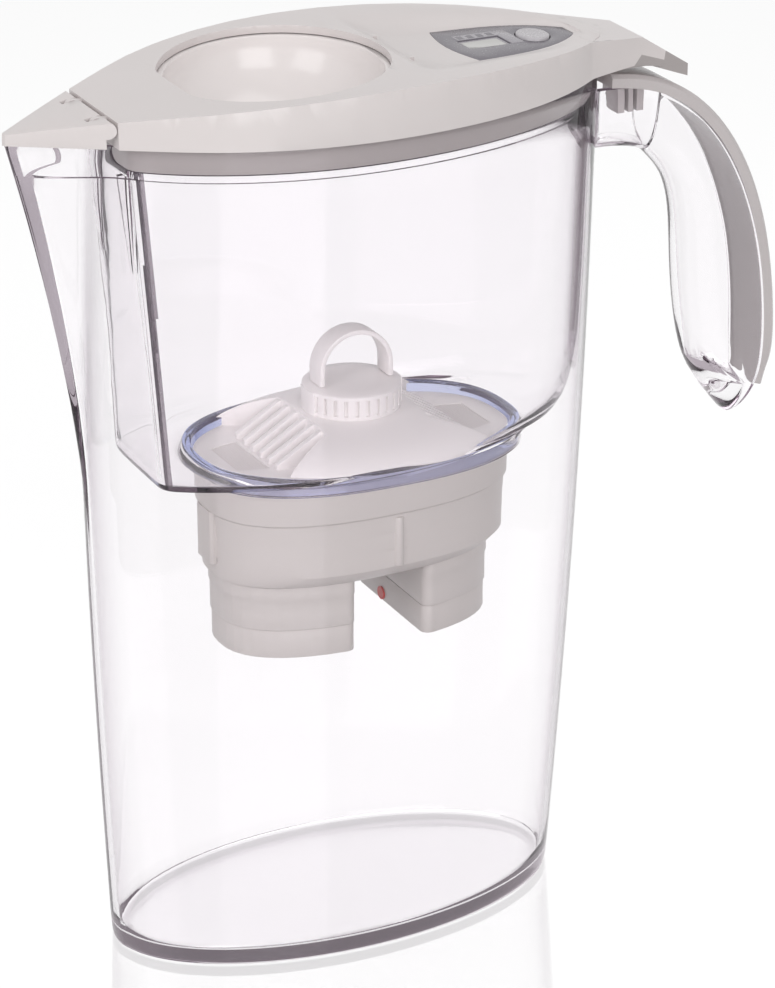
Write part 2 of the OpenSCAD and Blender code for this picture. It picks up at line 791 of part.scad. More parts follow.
// The lid's outline: the rim's outline grown by g, its sides drawn straight to the spout's tip
function lid_half(g) =
    let (tip = spout_reach + g * 0.5)
    let (sides = [for (p = jug_half(rim_z, -g)) if (p.x > -rim_front_reach && p.y > 0 || p.x > 0) p])
    let (slope = max([for (p = sides) p.y / (p.x + tip)]))
    let (near = [for (i = [0 : len(sides) - 1]) if (sides[i].y / (sides[i].x + tip) > slope - eps / 10) i])
    let (tangent = near[0])
    concat(
        [[-tip, 0]],
        [for (k = [0 : tangent_steps]) mix([-tip + 0.5, 1.1], sides[tangent], k / tangent_steps)],
        [for (k = [1 : side_steps - 4]) resampled(sides, tangent, k / (side_steps - 4))]
    );
tangent_steps = 6;
function resampled(points, start, t) =
    let (s = start + (len(points) - 1 - start) * t, i = min(floor(s), len(points) - 2))
    mix(points[i], points[i + 1], s - i);
function lid_ring(z, g) = lifted(mirrored(lid_half(g)), z);

// A solid of the lid's outline from the rim up to the crown, inset by t
module lid_block(t, drop) {
    intersection() {
        loft([lid_ring(rim_z - drop, lid_overhang - t), lid_ring(crown_z + 1, lid_overhang - lid_draft - t)]);
        under_crown(t);
    }
}

// Everything below the crown, lowered by t
crown_step = 8;
module under_crown(t) {
    front = -spout_reach - crown_step;
    back = tab_reach + crown_step;
    translate([0, spout_reach, 0])
        rotate([90, 0, 0])
            linear_extrude(2 * spout_reach)
                polygon(concat(
                    [[back, rim_z - ledge_drop], [back, 0], [front, 0]],
                    [for (x = [front : crown_step : back]) [x, crown_height(x) - t]]
                ));
}

module beyond(x, side) {
    reach = 2 * spout_reach;
    translate([side > 0 ? x : x - reach, -reach / 2, rim_z - 50])
        cube([reach, reach, 100]);
}

bowl_mouth_z = crown_height(bowl_x);
skirt_low_z = hopper_rim_z + clearance;
skirt_inset = rim_wall + clearance;
recess_z = crown_z - panel_drop;

module lid_shell() {
    color([0.85, 0.83, 0.83]) {
        difference() {
            union() {
                difference() {
                    lid_block(0, 0);
                    difference() {
                        lid_block(lid_wall, 1);
                        beyond(-lid_front_reach + lid_wall, -1);
                    }
                }
                thumb_tab();
                display_pocket();
            }
            beyond(-lid_front_reach, -1);
            bowl_mouth();
            display_recess();
            strip_envelope();
        }
        skirt();
        hinge_ears();
        bowl_lugs();
    }
}

// The skirt plugs into the jug's rim, above the hopper's flange, and thickens above the rim
skirt_setback = 3.6;
skirt_front = lid_front_reach - skirt_setback;
function skirt_outline(t) = mirrored(flat_half(ledge_z, skirt_inset + t, skirt_front - t));
module skirt() {
    ring_band(skirt_outline(0), skirt_outline(skirt_thickness), skirt_low_z, rim_z + 1);
    difference() {
        intersection() {
            ring_band(skirt_outline(-skirt_inset), skirt_outline(skirt_thickness), rim_z + 0.6, crown_z);
            lid_block(lid_wall / 2, 0);
        }
        display_recess();
    }
}

// The mouth is an ellipse with a straight front edge
module bowl_mouth() {
    intersection() {
        translate([bowl_x, 0, rim_z - 1])
            scale([bowl_half_length, bowl_half_width, 1])
                cylinder(h = lid_rise + 5, r = 1, $fn = 96);
        beyond(-bowl_front_reach, 1);
    }
}

// Wedge-shaped tab at the rear, over the handle's strip
tab_root_x = 74;
tab_knee_x = 95;
tab_root_half = 17;
tab_tip_drop = 15.6;
tab_tip_height = 3.6;
module tab_frame(x, half_width, low, high) {
    translate([x, -half_width, low])
        cube([0.1, 2 * half_width, high - low]);
}
module thumb_tab() {
    knee_z = crown_z - 6;
    hull() {
        tab_frame(tab_root_x, tab_root_half, rim_z, crown_height(tab_root_x));
        tab_frame(tab_knee_x, tab_half_width, rim_z, knee_z);
    }
    hull() {
        tab_frame(tab_knee_x - 0.1, tab_half_width, rim_z, knee_z);
        tab_frame(tab_reach, tab_half_width, crown_z - tab_tip_drop - tab_tip_height, crown_z - tab_tip_drop);
    }
}

// Room for the strip and the neck under the tab
module strip_envelope() {
    reach = strip_seat + strip_thickness + clearance;
    line = [for (u = [89 : -6 : 29]) back_point(u) + back_normal(u) * reach];
    translate([0, 2 * tab_half_width, 0])
        rotate([90, 0, 0])
            linear_extrude(4 * tab_half_width)
                polygon(concat(
                    [[tab_knee_x - 20, rim_z - 60], [tab_knee_x - 20, rim_z - eps]],
                    [[line[0].x, rim_z - eps]],
                    [for (p = line) if (p.y < rim_z) p],
                    [[line[len(line) - 1].x, rim_z - 60]]
                ));
}

// Shield outline of the panel: a bowed front, sides that close to a rounded tip
panel_bow = 2.8;
function panel_half(gap) =
    let (w = panel_half_width - gap, l = panel_length)
    [
        [panel_front - panel_bow + gap, 0],
        [panel_front - panel_bow * 0.7 + gap, w * 0.5],
        [panel_front + gap, w],
        [panel_front + l * 0.3, w * 0.96],
        [panel_front + l * 0.55, w * 0.87],
        [panel_front + l * 0.76, w * 0.68],
        [panel_front + l * 0.92 - gap, w * 0.42],
        [panel_front + l - gap, w * 0.22],
        [panel_front + l - gap, 0]
    ];

// Dished recess from the bowl to the panel's tip, its sides rising to the crown
recess_front = 24;
recess_half_width = 17.5;
recess_rise = 13;
recess_end = panel_front + panel_length + 1.5;
function recess_half(grow) = [
    [recess_front - grow, 0],
    [recess_front - grow, recess_half_width + grow],
    [panel_front + 3, panel_half_width + 0.9 + grow],
    [panel_front + 24, panel_half_width * 0.9 + grow],
    [recess_end - 5, panel_half_width * 0.5 + grow],
    [recess_end + grow, panel_half_width * 0.2 + grow],
    [recess_end + grow, 0]
];
module recess_form(grow) {
    hull() {
        translate([0, 0, recess_z - grow])
            linear_extrude(eps)
                polygon(mirrored(recess_half(grow)));
        translate([0, 0, crown_z + 1])
            linear_extrude(eps)
                polygon(mirrored([
                    for (p = recess_half(grow))
                        [p.x + (p.x < recess_front + 1 ? -recess_rise * 0.8 : recess_rise / 3),
                            p.y + (p.y > 0 ? recess_rise : 0)]
                ]));
    }
}

// The panel's seat and the pocket under it that holds the board
panel_seat = panel_thickness + 0.1;
pocket_depth = 6;
pocket_low_z = recess_z - pocket_depth;
board_x = panel_front + 1;
board_length = 30;
board_half_width = 6.8;
module display_recess() {
    recess_form(0);
    translate([0, 0, recess_z - panel_seat])
        linear_extrude(panel_seat + 1)
            polygon(mirrored(panel_half(0)));
    translate([board_x, -board_half_width - clearance, pocket_low_z + lid_wall / 2])
        cube([board_length + 2 * clearance, 2 * (board_half_width + clearance), pocket_depth]);
}

module display_pocket() {
    intersection() {
        recess_form(lid_wall);
        under_crown(lid_wall / 4);
        beyond(bowl_x + bowl_half_length + bowl_lip + 2 * clearance, 1);
    }
    translate([board_x - lid_wall, -board_half_width - lid_wall, pocket_low_z])
        cube([board_length + 2 * lid_wall, 2 * (board_half_width + lid_wall), pocket_depth]);
}

panel_top_z = recess_z - panel_seat + panel_thickness + 0.05;
window_x = panel_front + 3.1;
button_x = panel_front + 25;

module display_panel() {
    color([0.42, 0.41, 0.43])
        difference() {
            translate([0, 0, panel_top_z - panel_thickness])
                linear_extrude(panel_thickness)
                    polygon(mirrored(panel_half(0.15)));
            translate([window_x, -window_width / 2, panel_top_z - panel_thickness - 1])
                cube([window_length, window_width, panel_thickness + 2]);
            translate([button_x, 0, panel_top_z - panel_thickness - 1])
                scale([button_half_length + clearance, button_half_width + clearance, 1])
                    cylinder(h = panel_thickness + 2, r = 1);
        }
}

window_gap = 0.1;
module display_window() {
    color([0.8, 0.8, 0.78])
        translate([window_x + window_gap, window_gap - window_width / 2, panel_top_z - panel_thickness])
            cube([window_length - 2 * window_gap, window_width - 2 * window_gap, panel_thickness - 0.3]);
}

button_proud = 0.7;
board_top_z = panel_top_z - panel_thickness - button_travel - 0.4;
module reset_button() {
    color([0.74, 0.73, 0.74])
        translate([button_x, 0, panel_top_z - panel_thickness]) {
            scale([button_half_length, button_half_width, 1])
                cylinder(h = panel_thickness + button_proud, r = 1);
        }
}

board_thickness = 1;
module display_board() {
    color([0.15, 0.4, 0.25])
        translate([board_x + clearance, -board_half_width, board_top_z - board_thickness])
            cube([board_length, 2 * board_half_width, board_thickness]);
}

cell_radius = 6;
cell_height = board_top_z - board_thickness - pocket_low_z - lid_wall / 2;
module coin_cell() {
    color([0.75, 0.75, 0.76])
        translate([board_x + clearance + board_length / 2, 0, pocket_low_z + lid_wall / 2])
            cylinder(h = cell_height, r = cell_radius);
}

// --- Spout cover -----------------------------------------------------------------------

barrel_radius = 2.5;
hinge_x = -(lid_front_reach + barrel_radius + clearance);
hinge_z = crown_height(-lid_front_reach) - 2.2;
ear_thickness = 1.8;
ear_margin = 6.9633;
ear_y = lookup(hinge_x, lid_half(lid_overhang)) - ear_margin;
ear_radius = 1.95;
slot_half = ear_thickness / 2 + clearance;
slot_reach = 2 * clearance;
cover_wall = 1.8;

module spout_cover() {
    color([0.85, 0.83, 0.83])
        difference() {
            union() {
                difference() {
                    lid_block(0, -clearance / 3);
                    beyond(hinge_x, 1);
                }
                intersection() {
                    lid_block(0, -clearance / 3);
                    cross_bar(hinge_x, hinge_z, barrel_radius, -spout_reach, spout_reach);
                }
            }
            difference() {
                lid_block(cover_wall, 1);
                beyond(hinge_x - barrel_radius, 1);
            }
            for (side = [-1, 1])
                translate([hinge_x - barrel_radius - slot_reach, side * ear_y - slot_half, rim_z - 1])
                    cube([3 * barrel_radius, 2 * slot_half, lid_rise + 2]);
            cross_bar(hinge_x, hinge_z, pin_radius, -ear_y - 3.5, ear_y + 3.5);
        }
}

// Ears reach forward from the lid into slots in the cover's barrel
module hinge_ears() {
    for (y = [-ear_y, ear_y])
        difference() {
            hull() {
                cross_bar(hinge_x, hinge_z, ear_radius, y - ear_thickness / 2, y + ear_thickness / 2);
                translate([-lid_front_reach, y - ear_thickness / 2, hinge_z - 3])
                    cube([0.8, ear_thickness, 4.4]);
            }
            cross_bar(hinge_x, hinge_z, pin_radius + pin_fit, y - ear_thickness, y + ear_thickness);
        }
}

module cover_pin(side) {
    color([0.8, 0.8, 0.8])
        cross_bar(hinge_x, hinge_z, pin_radius, side * ear_y - 3.4, side * ear_y + 3.4);
}
module cover_pin_left() { cover_pin(-1); }
module cover_pin_right() { cover_pin(1); }

// --- Filling bowl ----------------------------------------------------------------------

bowl_lip = 1;
lip_thickness = 1.3;
bowl_hinge_x = bowl_x + bowl_half_length + 2.9;
bowl_hinge_z = crown_height(bowl_hinge_x) - 9;
bowl_arm_y = 9;
arm_thickness = 2.6;
boss_radius = 2;
lip_top = lid_wall + clearance;

module oval_column(grow, z0, z1) {
    translate([bowl_x, 0, z0])
        scale([bowl_half_length + grow, bowl_half_width + grow, 1])
            cylinder(h = z1 - z0, r = 1, $fn = 96);
}

// Half an ellipsoid hung from the mouth
module bowl_half_egg(shrink) {
    translate([bowl_x, 0, bowl_mouth_z - lip_top])
        scale([bowl_half_length - shrink, bowl_half_width - shrink, bowl_depth - shrink])
            sphere(r = 1, $fn = 96);
}

module filling_bowl() {
    color([0.87, 0.85, 0.85]) {
        difference() {
            intersection() {
                union() {
                    difference() {
                        oval_column(bowl_lip, rim_z - 1, crown_z);
                        under_crown(lip_top + lip_thickness);
                    }
                    intersection() {
                        bowl_half_egg(0);
                        oval_column(bowl_lip, rim_z - bowl_depth, bowl_mouth_z - lip_top);
                    }
                }
                under_crown(lip_top);
                beyond(-bowl_front_reach - bowl_lip, 1);
            }
            intersection() {
                bowl_half_egg(bowl_wall);
                beyond(-bowl_front_reach + bowl_wall, 1);
            }
        }
        for (side = [-1, 1])
            bowl_arm(side);
    }
}

module bowl_arm(side) {
    y0 = side * bowl_arm_y - arm_thickness / 2;
    difference() {
        hull() {
            cross_bar(bowl_hinge_x, bowl_hinge_z, boss_radius, y0, y0 + arm_thickness);
            translate([bowl_hinge_x - 6, y0, bowl_hinge_z - 3])
                cube([1, arm_thickness, 5]);
        }
        bowl_half_egg(bowl_wall);
        cross_bar(bowl_hinge_x, bowl_hinge_z, pin_radius, y0 - 1, y0 + arm_thickness + 1);
    }
}

// Lugs under the rear plateau carry the bowl's pin
lug_y = bowl_arm_y + arm_thickness / 2 + clearance + 1;
lug_thickness = 2;
module bowl_lugs() {
    for (y = [-lug_y, lug_y])
        difference() {
            intersection() {
                translate([bowl_hinge_x - boss_radius, y - lug_thickness / 2, bowl_hinge_z - boss_radius])
                    cube([2 * boss_radius, lug_thickness, 2 * lid_rise]);
                under_crown(lid_wall / 2);
            }
            cross_bar(bowl_hinge_x, bowl_hinge_z, pin_radius + pin_fit, y - lug_thickness, y + lug_thickness);
        }
}

module bowl_pin() {
    reach = lug_y + lug_thickness / 2;
    color([0.72, 0.72, 0.73])
        cross_bar(bowl_hinge_x, bowl_hinge_z, pin_radius, -reach, reach);
}

// A closed coil round the pin returns the bowl
spring_wire = 0.5;
spring_turns = 5;
module bowl_spring() {
    color([0.7, 0.7, 0.72])
        for (i = [0 : spring_turns - 1])
            translate([bowl_hinge_x, (i - (spring_turns - 1) / 2) * 2 * spring_wire, bowl_hinge_z])
                rotate([90, 0, 0])
                    rotate_extrude($fn = 40)
                        translate([pin_radius + 0.15 + spring_wire, 0])
                            circle(r = spring_wire, $fn = 16);
}

jug_shell();
handle_grip();
handle_strip();
hopper_tub();
opening_seal();
cartridge_body();
leg_base_front();
leg_base_rear();
flow_marker();
cartridge_dome();
inlet_mesh_front();
inlet_mesh_rear();
knob_cap();
carrying_loop();
lid_shell();
display_panel();
display_window();
reset_button();
display_board();
coin_cell();
spout_cover();
cover_pin_left();
cover_pin_right();
filling_bowl();
bowl_pin();
bowl_spring();
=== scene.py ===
"""Looks of a water filter pitcher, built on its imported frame.

The clear jug with its grip, the hopper, the cartridge, the lid, its display, spout cover,
filling bowl and button each have a class that dresses or rebuilds their pieces. The frame of
the part has X from spout to handle, Z up and the origin under the foot. Blender's lengths
are metres, and the fields that hold millimetres say so.
"""

import logging
import math
from collections.abc import Callable
from dataclasses import dataclass, field
from enum import Enum

import bmesh
import bpy
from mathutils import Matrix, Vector


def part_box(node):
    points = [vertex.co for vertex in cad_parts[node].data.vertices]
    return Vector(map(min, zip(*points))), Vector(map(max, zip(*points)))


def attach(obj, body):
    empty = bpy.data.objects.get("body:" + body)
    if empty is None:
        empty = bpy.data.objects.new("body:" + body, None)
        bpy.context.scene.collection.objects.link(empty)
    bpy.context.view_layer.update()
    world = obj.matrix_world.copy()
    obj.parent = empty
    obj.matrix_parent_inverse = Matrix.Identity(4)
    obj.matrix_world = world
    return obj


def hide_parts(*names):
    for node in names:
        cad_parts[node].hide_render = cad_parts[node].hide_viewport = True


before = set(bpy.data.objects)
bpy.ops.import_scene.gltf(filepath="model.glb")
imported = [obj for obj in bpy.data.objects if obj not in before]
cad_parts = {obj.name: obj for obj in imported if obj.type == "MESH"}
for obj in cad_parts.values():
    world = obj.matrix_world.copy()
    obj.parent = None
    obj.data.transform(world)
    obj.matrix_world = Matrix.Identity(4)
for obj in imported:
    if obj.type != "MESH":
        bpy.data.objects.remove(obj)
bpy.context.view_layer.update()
MM = 0.001
UP = 0.9  # a face whose normal rises more than this looks up
SIDE = 0.5  # a face whose normal rises or falls less than this stands upright
MERGE = 0.01 * MM  # corners of a CAD mesh nearer than this are one
CLOSE_MERGE = 0.002 * MM  # and those of a modelled piece
FLAT = math.radians(0.5)  # faces that bend less than this are one
QUAD_BEND, QUAD_SKEW = math.radians(25), math.radians(120)  # bounds for pairing triangles
log = logging.getLogger("pitcher")


# --- Small tools -----------------------------------------------------------------------


def linear(code: str) -> tuple[float, float, float, float]:
    """Turns an sRGB hex colour to linear light.

    Args:
        code: the colour as "#RRGGBB".

    Returns:
        Red, green, blue and alpha, linear.
    """
    parts = [int(code[i : i + 2], 16) / 255 for i in (1, 3, 5)]
    return (*(p / 12.92 if p <= 0.04045 else ((p + 0.055) / 1.055) ** 2.4 for p in parts), 1.0)


def add(
    tree: bpy.types.NodeTree,
    kind: str,
    inputs: dict[str | int, object] | None = None,
    **settings: object,
) -> bpy.types.Node:
    """Adds a node with its settings and links.

    Args:
        tree: the node tree it goes to.
        kind: its Blender type.
        inputs: socket name or number to a value, or to an output socket to link.
        settings: the node's own properties.

    Returns:
        The node.
    """
    made = tree.nodes.new(kind)
    for key, value in settings.items():
        setattr(made, key, value)
    for key, value in (inputs or {}).items():
        if isinstance(value, bpy.types.NodeSocket):
            tree.links.new(value, made.inputs[key])
        else:
            made.inputs[key].default_value = value
    return made


def new_material(name: str) -> tuple[bpy.types.Material, bpy.types.NodeTree, bpy.types.Node]:
    """Makes a material with an empty tree and an output node.

    Args:
        name: the material's name.

    Returns:
        The material, its tree and its output node.
    """
    material = bpy.data.materials.new(name)
    material.use_nodes = True
    tree = material.node_tree
    tree.nodes.clear()
    return material, tree, add(tree, "ShaderNodeOutputMaterial")


def only(piece: bpy.types.Object) -> None:
    """Selects one object and makes it active.

    Args:
        piece: the object.
    """
    bpy.ops.object.select_all(action="DESELECT")
    piece.select_set(True)
    bpy.context.view_layer.objects.active = piece


def modify(piece: bpy.types.Object, kind: str, **settings: object) -> None:
    """Adds a modifier to a piece and applies it.

    Args:
        piece: the object.
        kind: the modifier's Blender type.
        settings: its properties.
    """
    only(piece)
    modifier = piece.modifiers.new(kind.title(), kind)
    for key, value in settings.items():
        setattr(modifier, key, value)
    bpy.ops.object.modifier_apply(modifier=modifier.name)


def smooth(piece: bpy.types.Object, degrees: float) -> None:
    """Shades a piece smooth, apart from its sharp edges.

    Args:
        piece: the object.
        degrees: edges sharper than this stay sharp.
    """
    only(piece)
    bpy.ops.object.shade_smooth_by_angle(angle=math.radians(degrees))


def begin(primitive: Callable, name: str, **place: object) -> bpy.types.Object:
    """Adds a primitive, sets its place in its mesh and opens it for editing.

    Args:
        primitive: the bpy.ops call that adds it.
        name: the piece's name.
        place: the call's settings.

    Returns:
        The new object, in edit mode with everything selected.
    """
    bpy.ops.object.select_all(action="DESELECT")
    primitive(**place)
    piece = bpy.context.object
    piece.name = name
    bpy.ops.object.transform_apply(location=True, rotation=True, scale=True)
    bpy.ops.object.mode_set(mode="EDIT")
    bpy.ops.mesh.select_mode(type="FACE")
    return piece


def pick(piece: bpy.types.Object, test: Callable[[bmesh.types.BMFace], bool]) -> None:
    """Selects the faces that pass a test, and no others, in edit mode.

    Args:
        piece: the piece, in edit mode.
        test: tells whether a face is wanted.
    """
    bpy.ops.mesh.select_all(action="DESELECT")
    mesh = bmesh.from_edit_mesh(piece.data)
    for face in mesh.faces:
        face.select_set(test(face))
    bmesh.update_edit_mesh(piece.data)


def cut(point: tuple[float, float, float], normal: tuple[float, float, float]) -> None:
    """Cuts the edited mesh along a plane, and keeps both sides.

    Args:
        point: a point of the plane.
        normal: the plane's normal.
    """
    bpy.ops.mesh.select_all(action="SELECT")
    bpy.ops.mesh.bisect(plane_co=point, plane_no=normal)


def close(piece: bpy.types.Object, finish: "Finish", width: float, degrees: float = 30.0) -> None:
    """Ends the editing of a piece, softens its edges and gives it a finish.

    Args:
        piece: the piece, in edit mode.
        finish: its finish.
        width: radius of the softened edges, in millimetres.
        degrees: edges sharper than this are softened.
    """
    bpy.ops.mesh.select_all(action="SELECT")
    bpy.ops.mesh.remove_doubles(threshold=CLOSE_MERGE)
    bpy.ops.mesh.normals_make_consistent(inside=False)
    bpy.ops.object.mode_set(mode="OBJECT")
    modify(
        piece,
        "BEVEL",
        width=width * MM,
        segments=2,
        limit_method="ANGLE",
        angle_limit=math.radians(degrees),
    )
    smooth(piece, degrees)
    piece.data.materials.append(finish.material)


def paint(
    piece: bpy.types.Object, finish: "Finish", test: Callable[[bpy.types.MeshPolygon], bool]
) -> None:
    """Gives a finish to the faces that pass a test.

    Args:
        piece: the finished piece.
        finish: the finish.
        test: tells whether a face has it.
    """
    slots = piece.data.materials
    if slots.find(finish.material.name) < 0:
        slots.append(finish.material)
    index = slots.find(finish.material.name)
    for face in piece.data.polygons:
        if test(face):
            face.material_index = index


# --- Finishes --------------------------------------------------------------------------


@dataclass(frozen=True)
class ClearPlastic:
    """Clear styrene, injection moulded in a polished tool: bright, with dark edge lines.

    Args:
        name: the material's name.
        tint: colour of light that passes a wall head on.
        drift: the colour that the tint drifts to where the melt has flowed.
        turned: stops of the wall's colour, from head on, 0, to in line with the eye, 1.
        glint: colour of what its faces mirror.
        absorb: colour that a long way through the plastic takes on.
        density: how fast it does, per metre.
        corner: tint of light that passes straight through after its mirrorings.
        mirrorings: light mirrored more often than this passes straight through.
        shade: colour of lamplight that has passed a wall.
        ior: index of refraction.
    """

    name: str
    tint: str = "#FEFDFE"
    drift: str = "#FEFDFE"
    turned: tuple[tuple[float, str], ...] = (
        (0.50, "#FFFFFF"),
        (0.78, "#DFD9DE"),
        (0.93, "#C2BAC0"),
        (0.985, "#8E848C"),
        (1.0, "#241F24"),
    )
    glint: str = "#948E94"
    absorb: str = "#D6D0D6"
    density: float = 6.0
    corner: str = "#B8AFB6"
    mirrorings: float = 1.5
    shade: str = "#FDFCFD"
    ior: float = 1.57

    def build(self) -> bpy.types.Material:
        """Makes the material: glass that darkens where its wall turns away from the eye."""
        material, tree, out = new_material(self.name)
        place = add(tree, "ShaderNodeTexCoord").outputs["Object"]
        # Flow of the melt, in drifts some 40 mm long, shows as the faintest change of tint
        flow = add(tree, "ShaderNodeTexNoise", {"Vector": place, "Scale": 25.0, "Detail": 1.0})
        body = add(
            tree,
            "ShaderNodeMix",
            {"Factor": flow.outputs["Fac"], 6: linear(self.tint), 7: linear(self.drift)},
            data_type="RGBA",
        ).outputs[2]
        facing = add(tree, "ShaderNodeLayerWeight", {"Blend": 0.5}).outputs["Facing"]
        ramp = add(tree, "ShaderNodeValToRGB", {"Fac": facing})
        stops = ramp.color_ramp.elements
        while len(stops) < len(self.turned):
            stops.new(0.5)
        for stop, (position, code) in zip(stops, self.turned):
            stop.position, stop.color = position, linear(code)
        colour = add(
            tree,
            "ShaderNodeMix",
            {"Factor": 1.0, 6: body, 7: ramp.outputs["Color"]},
            data_type="RGBA",
            blend_type="MULTIPLY",
        ).outputs[2]
        glass = add(
            tree,
            "ShaderNodeBsdfPrincipled",
            {
                "Base Color": colour,
                "Roughness": 0.0,
                "IOR": self.ior,
                "Specular Tint": linear(self.glint),
                "Transmission Weight": 1.0,
            },
        )
        clear = add(tree, "ShaderNodeBsdfTransparent", {"Color": linear(self.shade)})
        path = add(tree, "ShaderNodeLightPath")
        lamp = add(
            tree,
            "ShaderNodeMath",
            {0: path.outputs["Is Shadow Ray"], 1: path.outputs["Is Diffuse Ray"]},
            operation="MAXIMUM",
        )
        mixed = add(
            tree,
            "ShaderNodeMixShader",
            {0: lamp.outputs[0], 1: glass.outputs[0], 2: clear.outputs[0]},
        )
        # Thick corners go black where light is mirrored again and again inside them, so from
        # its second mirroring on, light passes straight through, with a tint
        held = add(
            tree,
            "ShaderNodeMath",
            {0: path.outputs["Glossy Depth"], 1: self.mirrorings},
            operation="GREATER_THAN",
        ).outputs[0]
        leak = add(tree, "ShaderNodeBsdfTransparent", {"Color": linear(self.corner)})
        surface = add(
            tree, "ShaderNodeMixShader", {0: held, 1: mixed.outputs[0], 2: leak.outputs[0]}
        )
        absorb = add(
            tree,
            "ShaderNodeVolumeAbsorption",
            {"Color": linear(self.absorb), "Density": self.density},
        )
        tree.links.new(surface.outputs[0], out.inputs["Surface"])
        tree.links.new(absorb.outputs[0], out.inputs["Volume"])
        return material


@dataclass(frozen=True)
class MouldedPlastic:
    """Opaque moulded plastic, such as ABS or polypropylene, with a fine eroded grain.

    Args:
        name: the material's name.
        colour: its sRGB colour.
        deeper: the slightly deeper colour that its batches and flow drift to.
        roughness: the lowest and highest roughness.
        grain: size of the tool's grain in millimetres.
        relief: depth of that grain in millimetres.
    """

    name: str
    colour: str
    deeper: str
    roughness: tuple[float, float] = (0.28, 0.36)
    grain: float = 0.5
    relief: float = 0.004

    def build(self) -> bpy.types.Material:
        """Makes the material: soft colour drift, uneven gloss and a fine grain."""
        material, tree, out = new_material(self.name)
        place = add(tree, "ShaderNodeTexCoord").outputs["Object"]
        # Batches and flow change the colour in patches some 33 mm wide
        drift = add(tree, "ShaderNodeTexNoise", {"Vector": place, "Scale": 30.0, "Detail": 2.0})
        colour = add(
            tree,
            "ShaderNodeMix",
            {"Factor": drift.outputs["Fac"], 6: linear(self.colour), 7: linear(self.deeper)},
            data_type="RGBA",
        ).outputs[2]
        grain = add(
            tree,
            "ShaderNodeTexNoise",
            {"Vector": place, "Scale": 1 / (self.grain * MM), "Detail": 2.0},
        ).outputs["Fac"]
        rough = add(
            tree,
            "ShaderNodeMapRange",
            {"Value": grain, "To Min": self.roughness[0], "To Max": self.roughness[1]},
        ).outputs["Result"]
        bump = add(
            tree,
            "ShaderNodeBump",
            {"Height": grain, "Strength": 1.0, "Distance": self.relief * MM},
        )
        body = add(
            tree,
            "ShaderNodeBsdfPrincipled",
            {
                "Base Color": colour,
                "Roughness": rough,
                "IOR": 1.53,
                "Normal": bump.outputs["Normal"],
            },
        )
        tree.links.new(body.outputs[0], out.inputs["Surface"])
        return material


@dataclass(frozen=True)
class WovenMesh:
    """Nylon monofilament mesh: pale round threads over dim pores.

    Args:
        name: the material's name.
        thread: colour of the threads.
        pore: colour between them.
        pitch: spacing of the threads in millimetres, drawn five times as coarse to show.
    """

    name: str
    thread: str = "#F2EEEB"
    pore: str = "#D4CFCC"
    pitch: float = 0.8

    def build(self) -> bpy.types.Material:
        """Makes the material: two sets of crossing threads."""
        material, tree, out = new_material(self.name)
        place = add(tree, "ShaderNodeTexCoord").outputs["Object"]
        # At scale 1 a wave repeats every pi / 10 units
        scale = math.pi / (10 * self.pitch * MM)
        threads = [
            add(
                tree,
                "ShaderNodeTexWave",
                {"Vector": place, "Scale": scale},
                bands_direction=direction,
            ).outputs["Fac"]
            for direction in "XY"
        ]
        height = add(
            tree, "ShaderNodeMath", {0: threads[0], 1: threads[1]}, operation="MAXIMUM"
        ).outputs[0]
        colour = add(
            tree,
            "ShaderNodeMix",
            {"Factor": height, 6: linear(self.pore), 7: linear(self.thread)},
            data_type="RGBA",
        ).outputs[2]
        bump = add(tree, "ShaderNodeBump", {"Height": height, "Distance": 0.08 * MM})
        body = add(
            tree,
            "ShaderNodeBsdfPrincipled",
            {
                "Base Color": colour,
                "Roughness": 0.45,
                "IOR": 1.53,
                "Normal": bump.outputs["Normal"],
            },
        )
        tree.links.new(body.outputs[0], out.inputs["Surface"])
        return material


@dataclass(frozen=True)
class Laminate:
    """Glass-fibre laminate under green lacquer, with a grid of plated pads.

    Args:
        name: the material's name.
        lacquer: colour of the lacquer.
        pad: colour of the plating.
        pitch: spacing of the pads in millimetres.
    """

    name: str
    lacquer: str = "#1F5B36"
    pad: str = "#C9B27A"
    pitch: float = 2.54

    def build(self) -> bpy.types.Material:
        """Makes the material: round pads in the lacquer, over a faint weave."""
        material, tree, out = new_material(self.name)
        place = add(tree, "ShaderNodeTexCoord").outputs["Object"]
        cells = add(
            tree,
            "ShaderNodeTexVoronoi",
            {"Vector": place, "Scale": 1 / (self.pitch * MM), "Randomness": 0.0},
        )
        pads = add(
            tree, "ShaderNodeMath", {0: cells.outputs["Distance"], 1: 0.25}, operation="LESS_THAN"
        ).outputs[0]
        # Bundles of the weave are drawn some 1.1 mm wide
        weave = add(tree, "ShaderNodeTexNoise", {"Vector": place, "Scale": 900.0})
        colour = add(
            tree,
            "ShaderNodeMix",
            {"Factor": pads, 6: linear(self.lacquer), 7: linear(self.pad)},
            data_type="RGBA",
        ).outputs[2]
        bump = add(
            tree,
            "ShaderNodeBump",
            {"Height": weave.outputs["Fac"], "Strength": 0.4, "Distance": 0.02 * MM},
        )
        body = add(
            tree,
            "ShaderNodeBsdfPrincipled",
            {
                "Base Color": colour,
                "Metallic": pads,
                "Roughness": 0.35,
                "Normal": bump.outputs["Normal"],
            },
        )
        tree.links.new(body.outputs[0], out.inputs["Surface"])
        return material


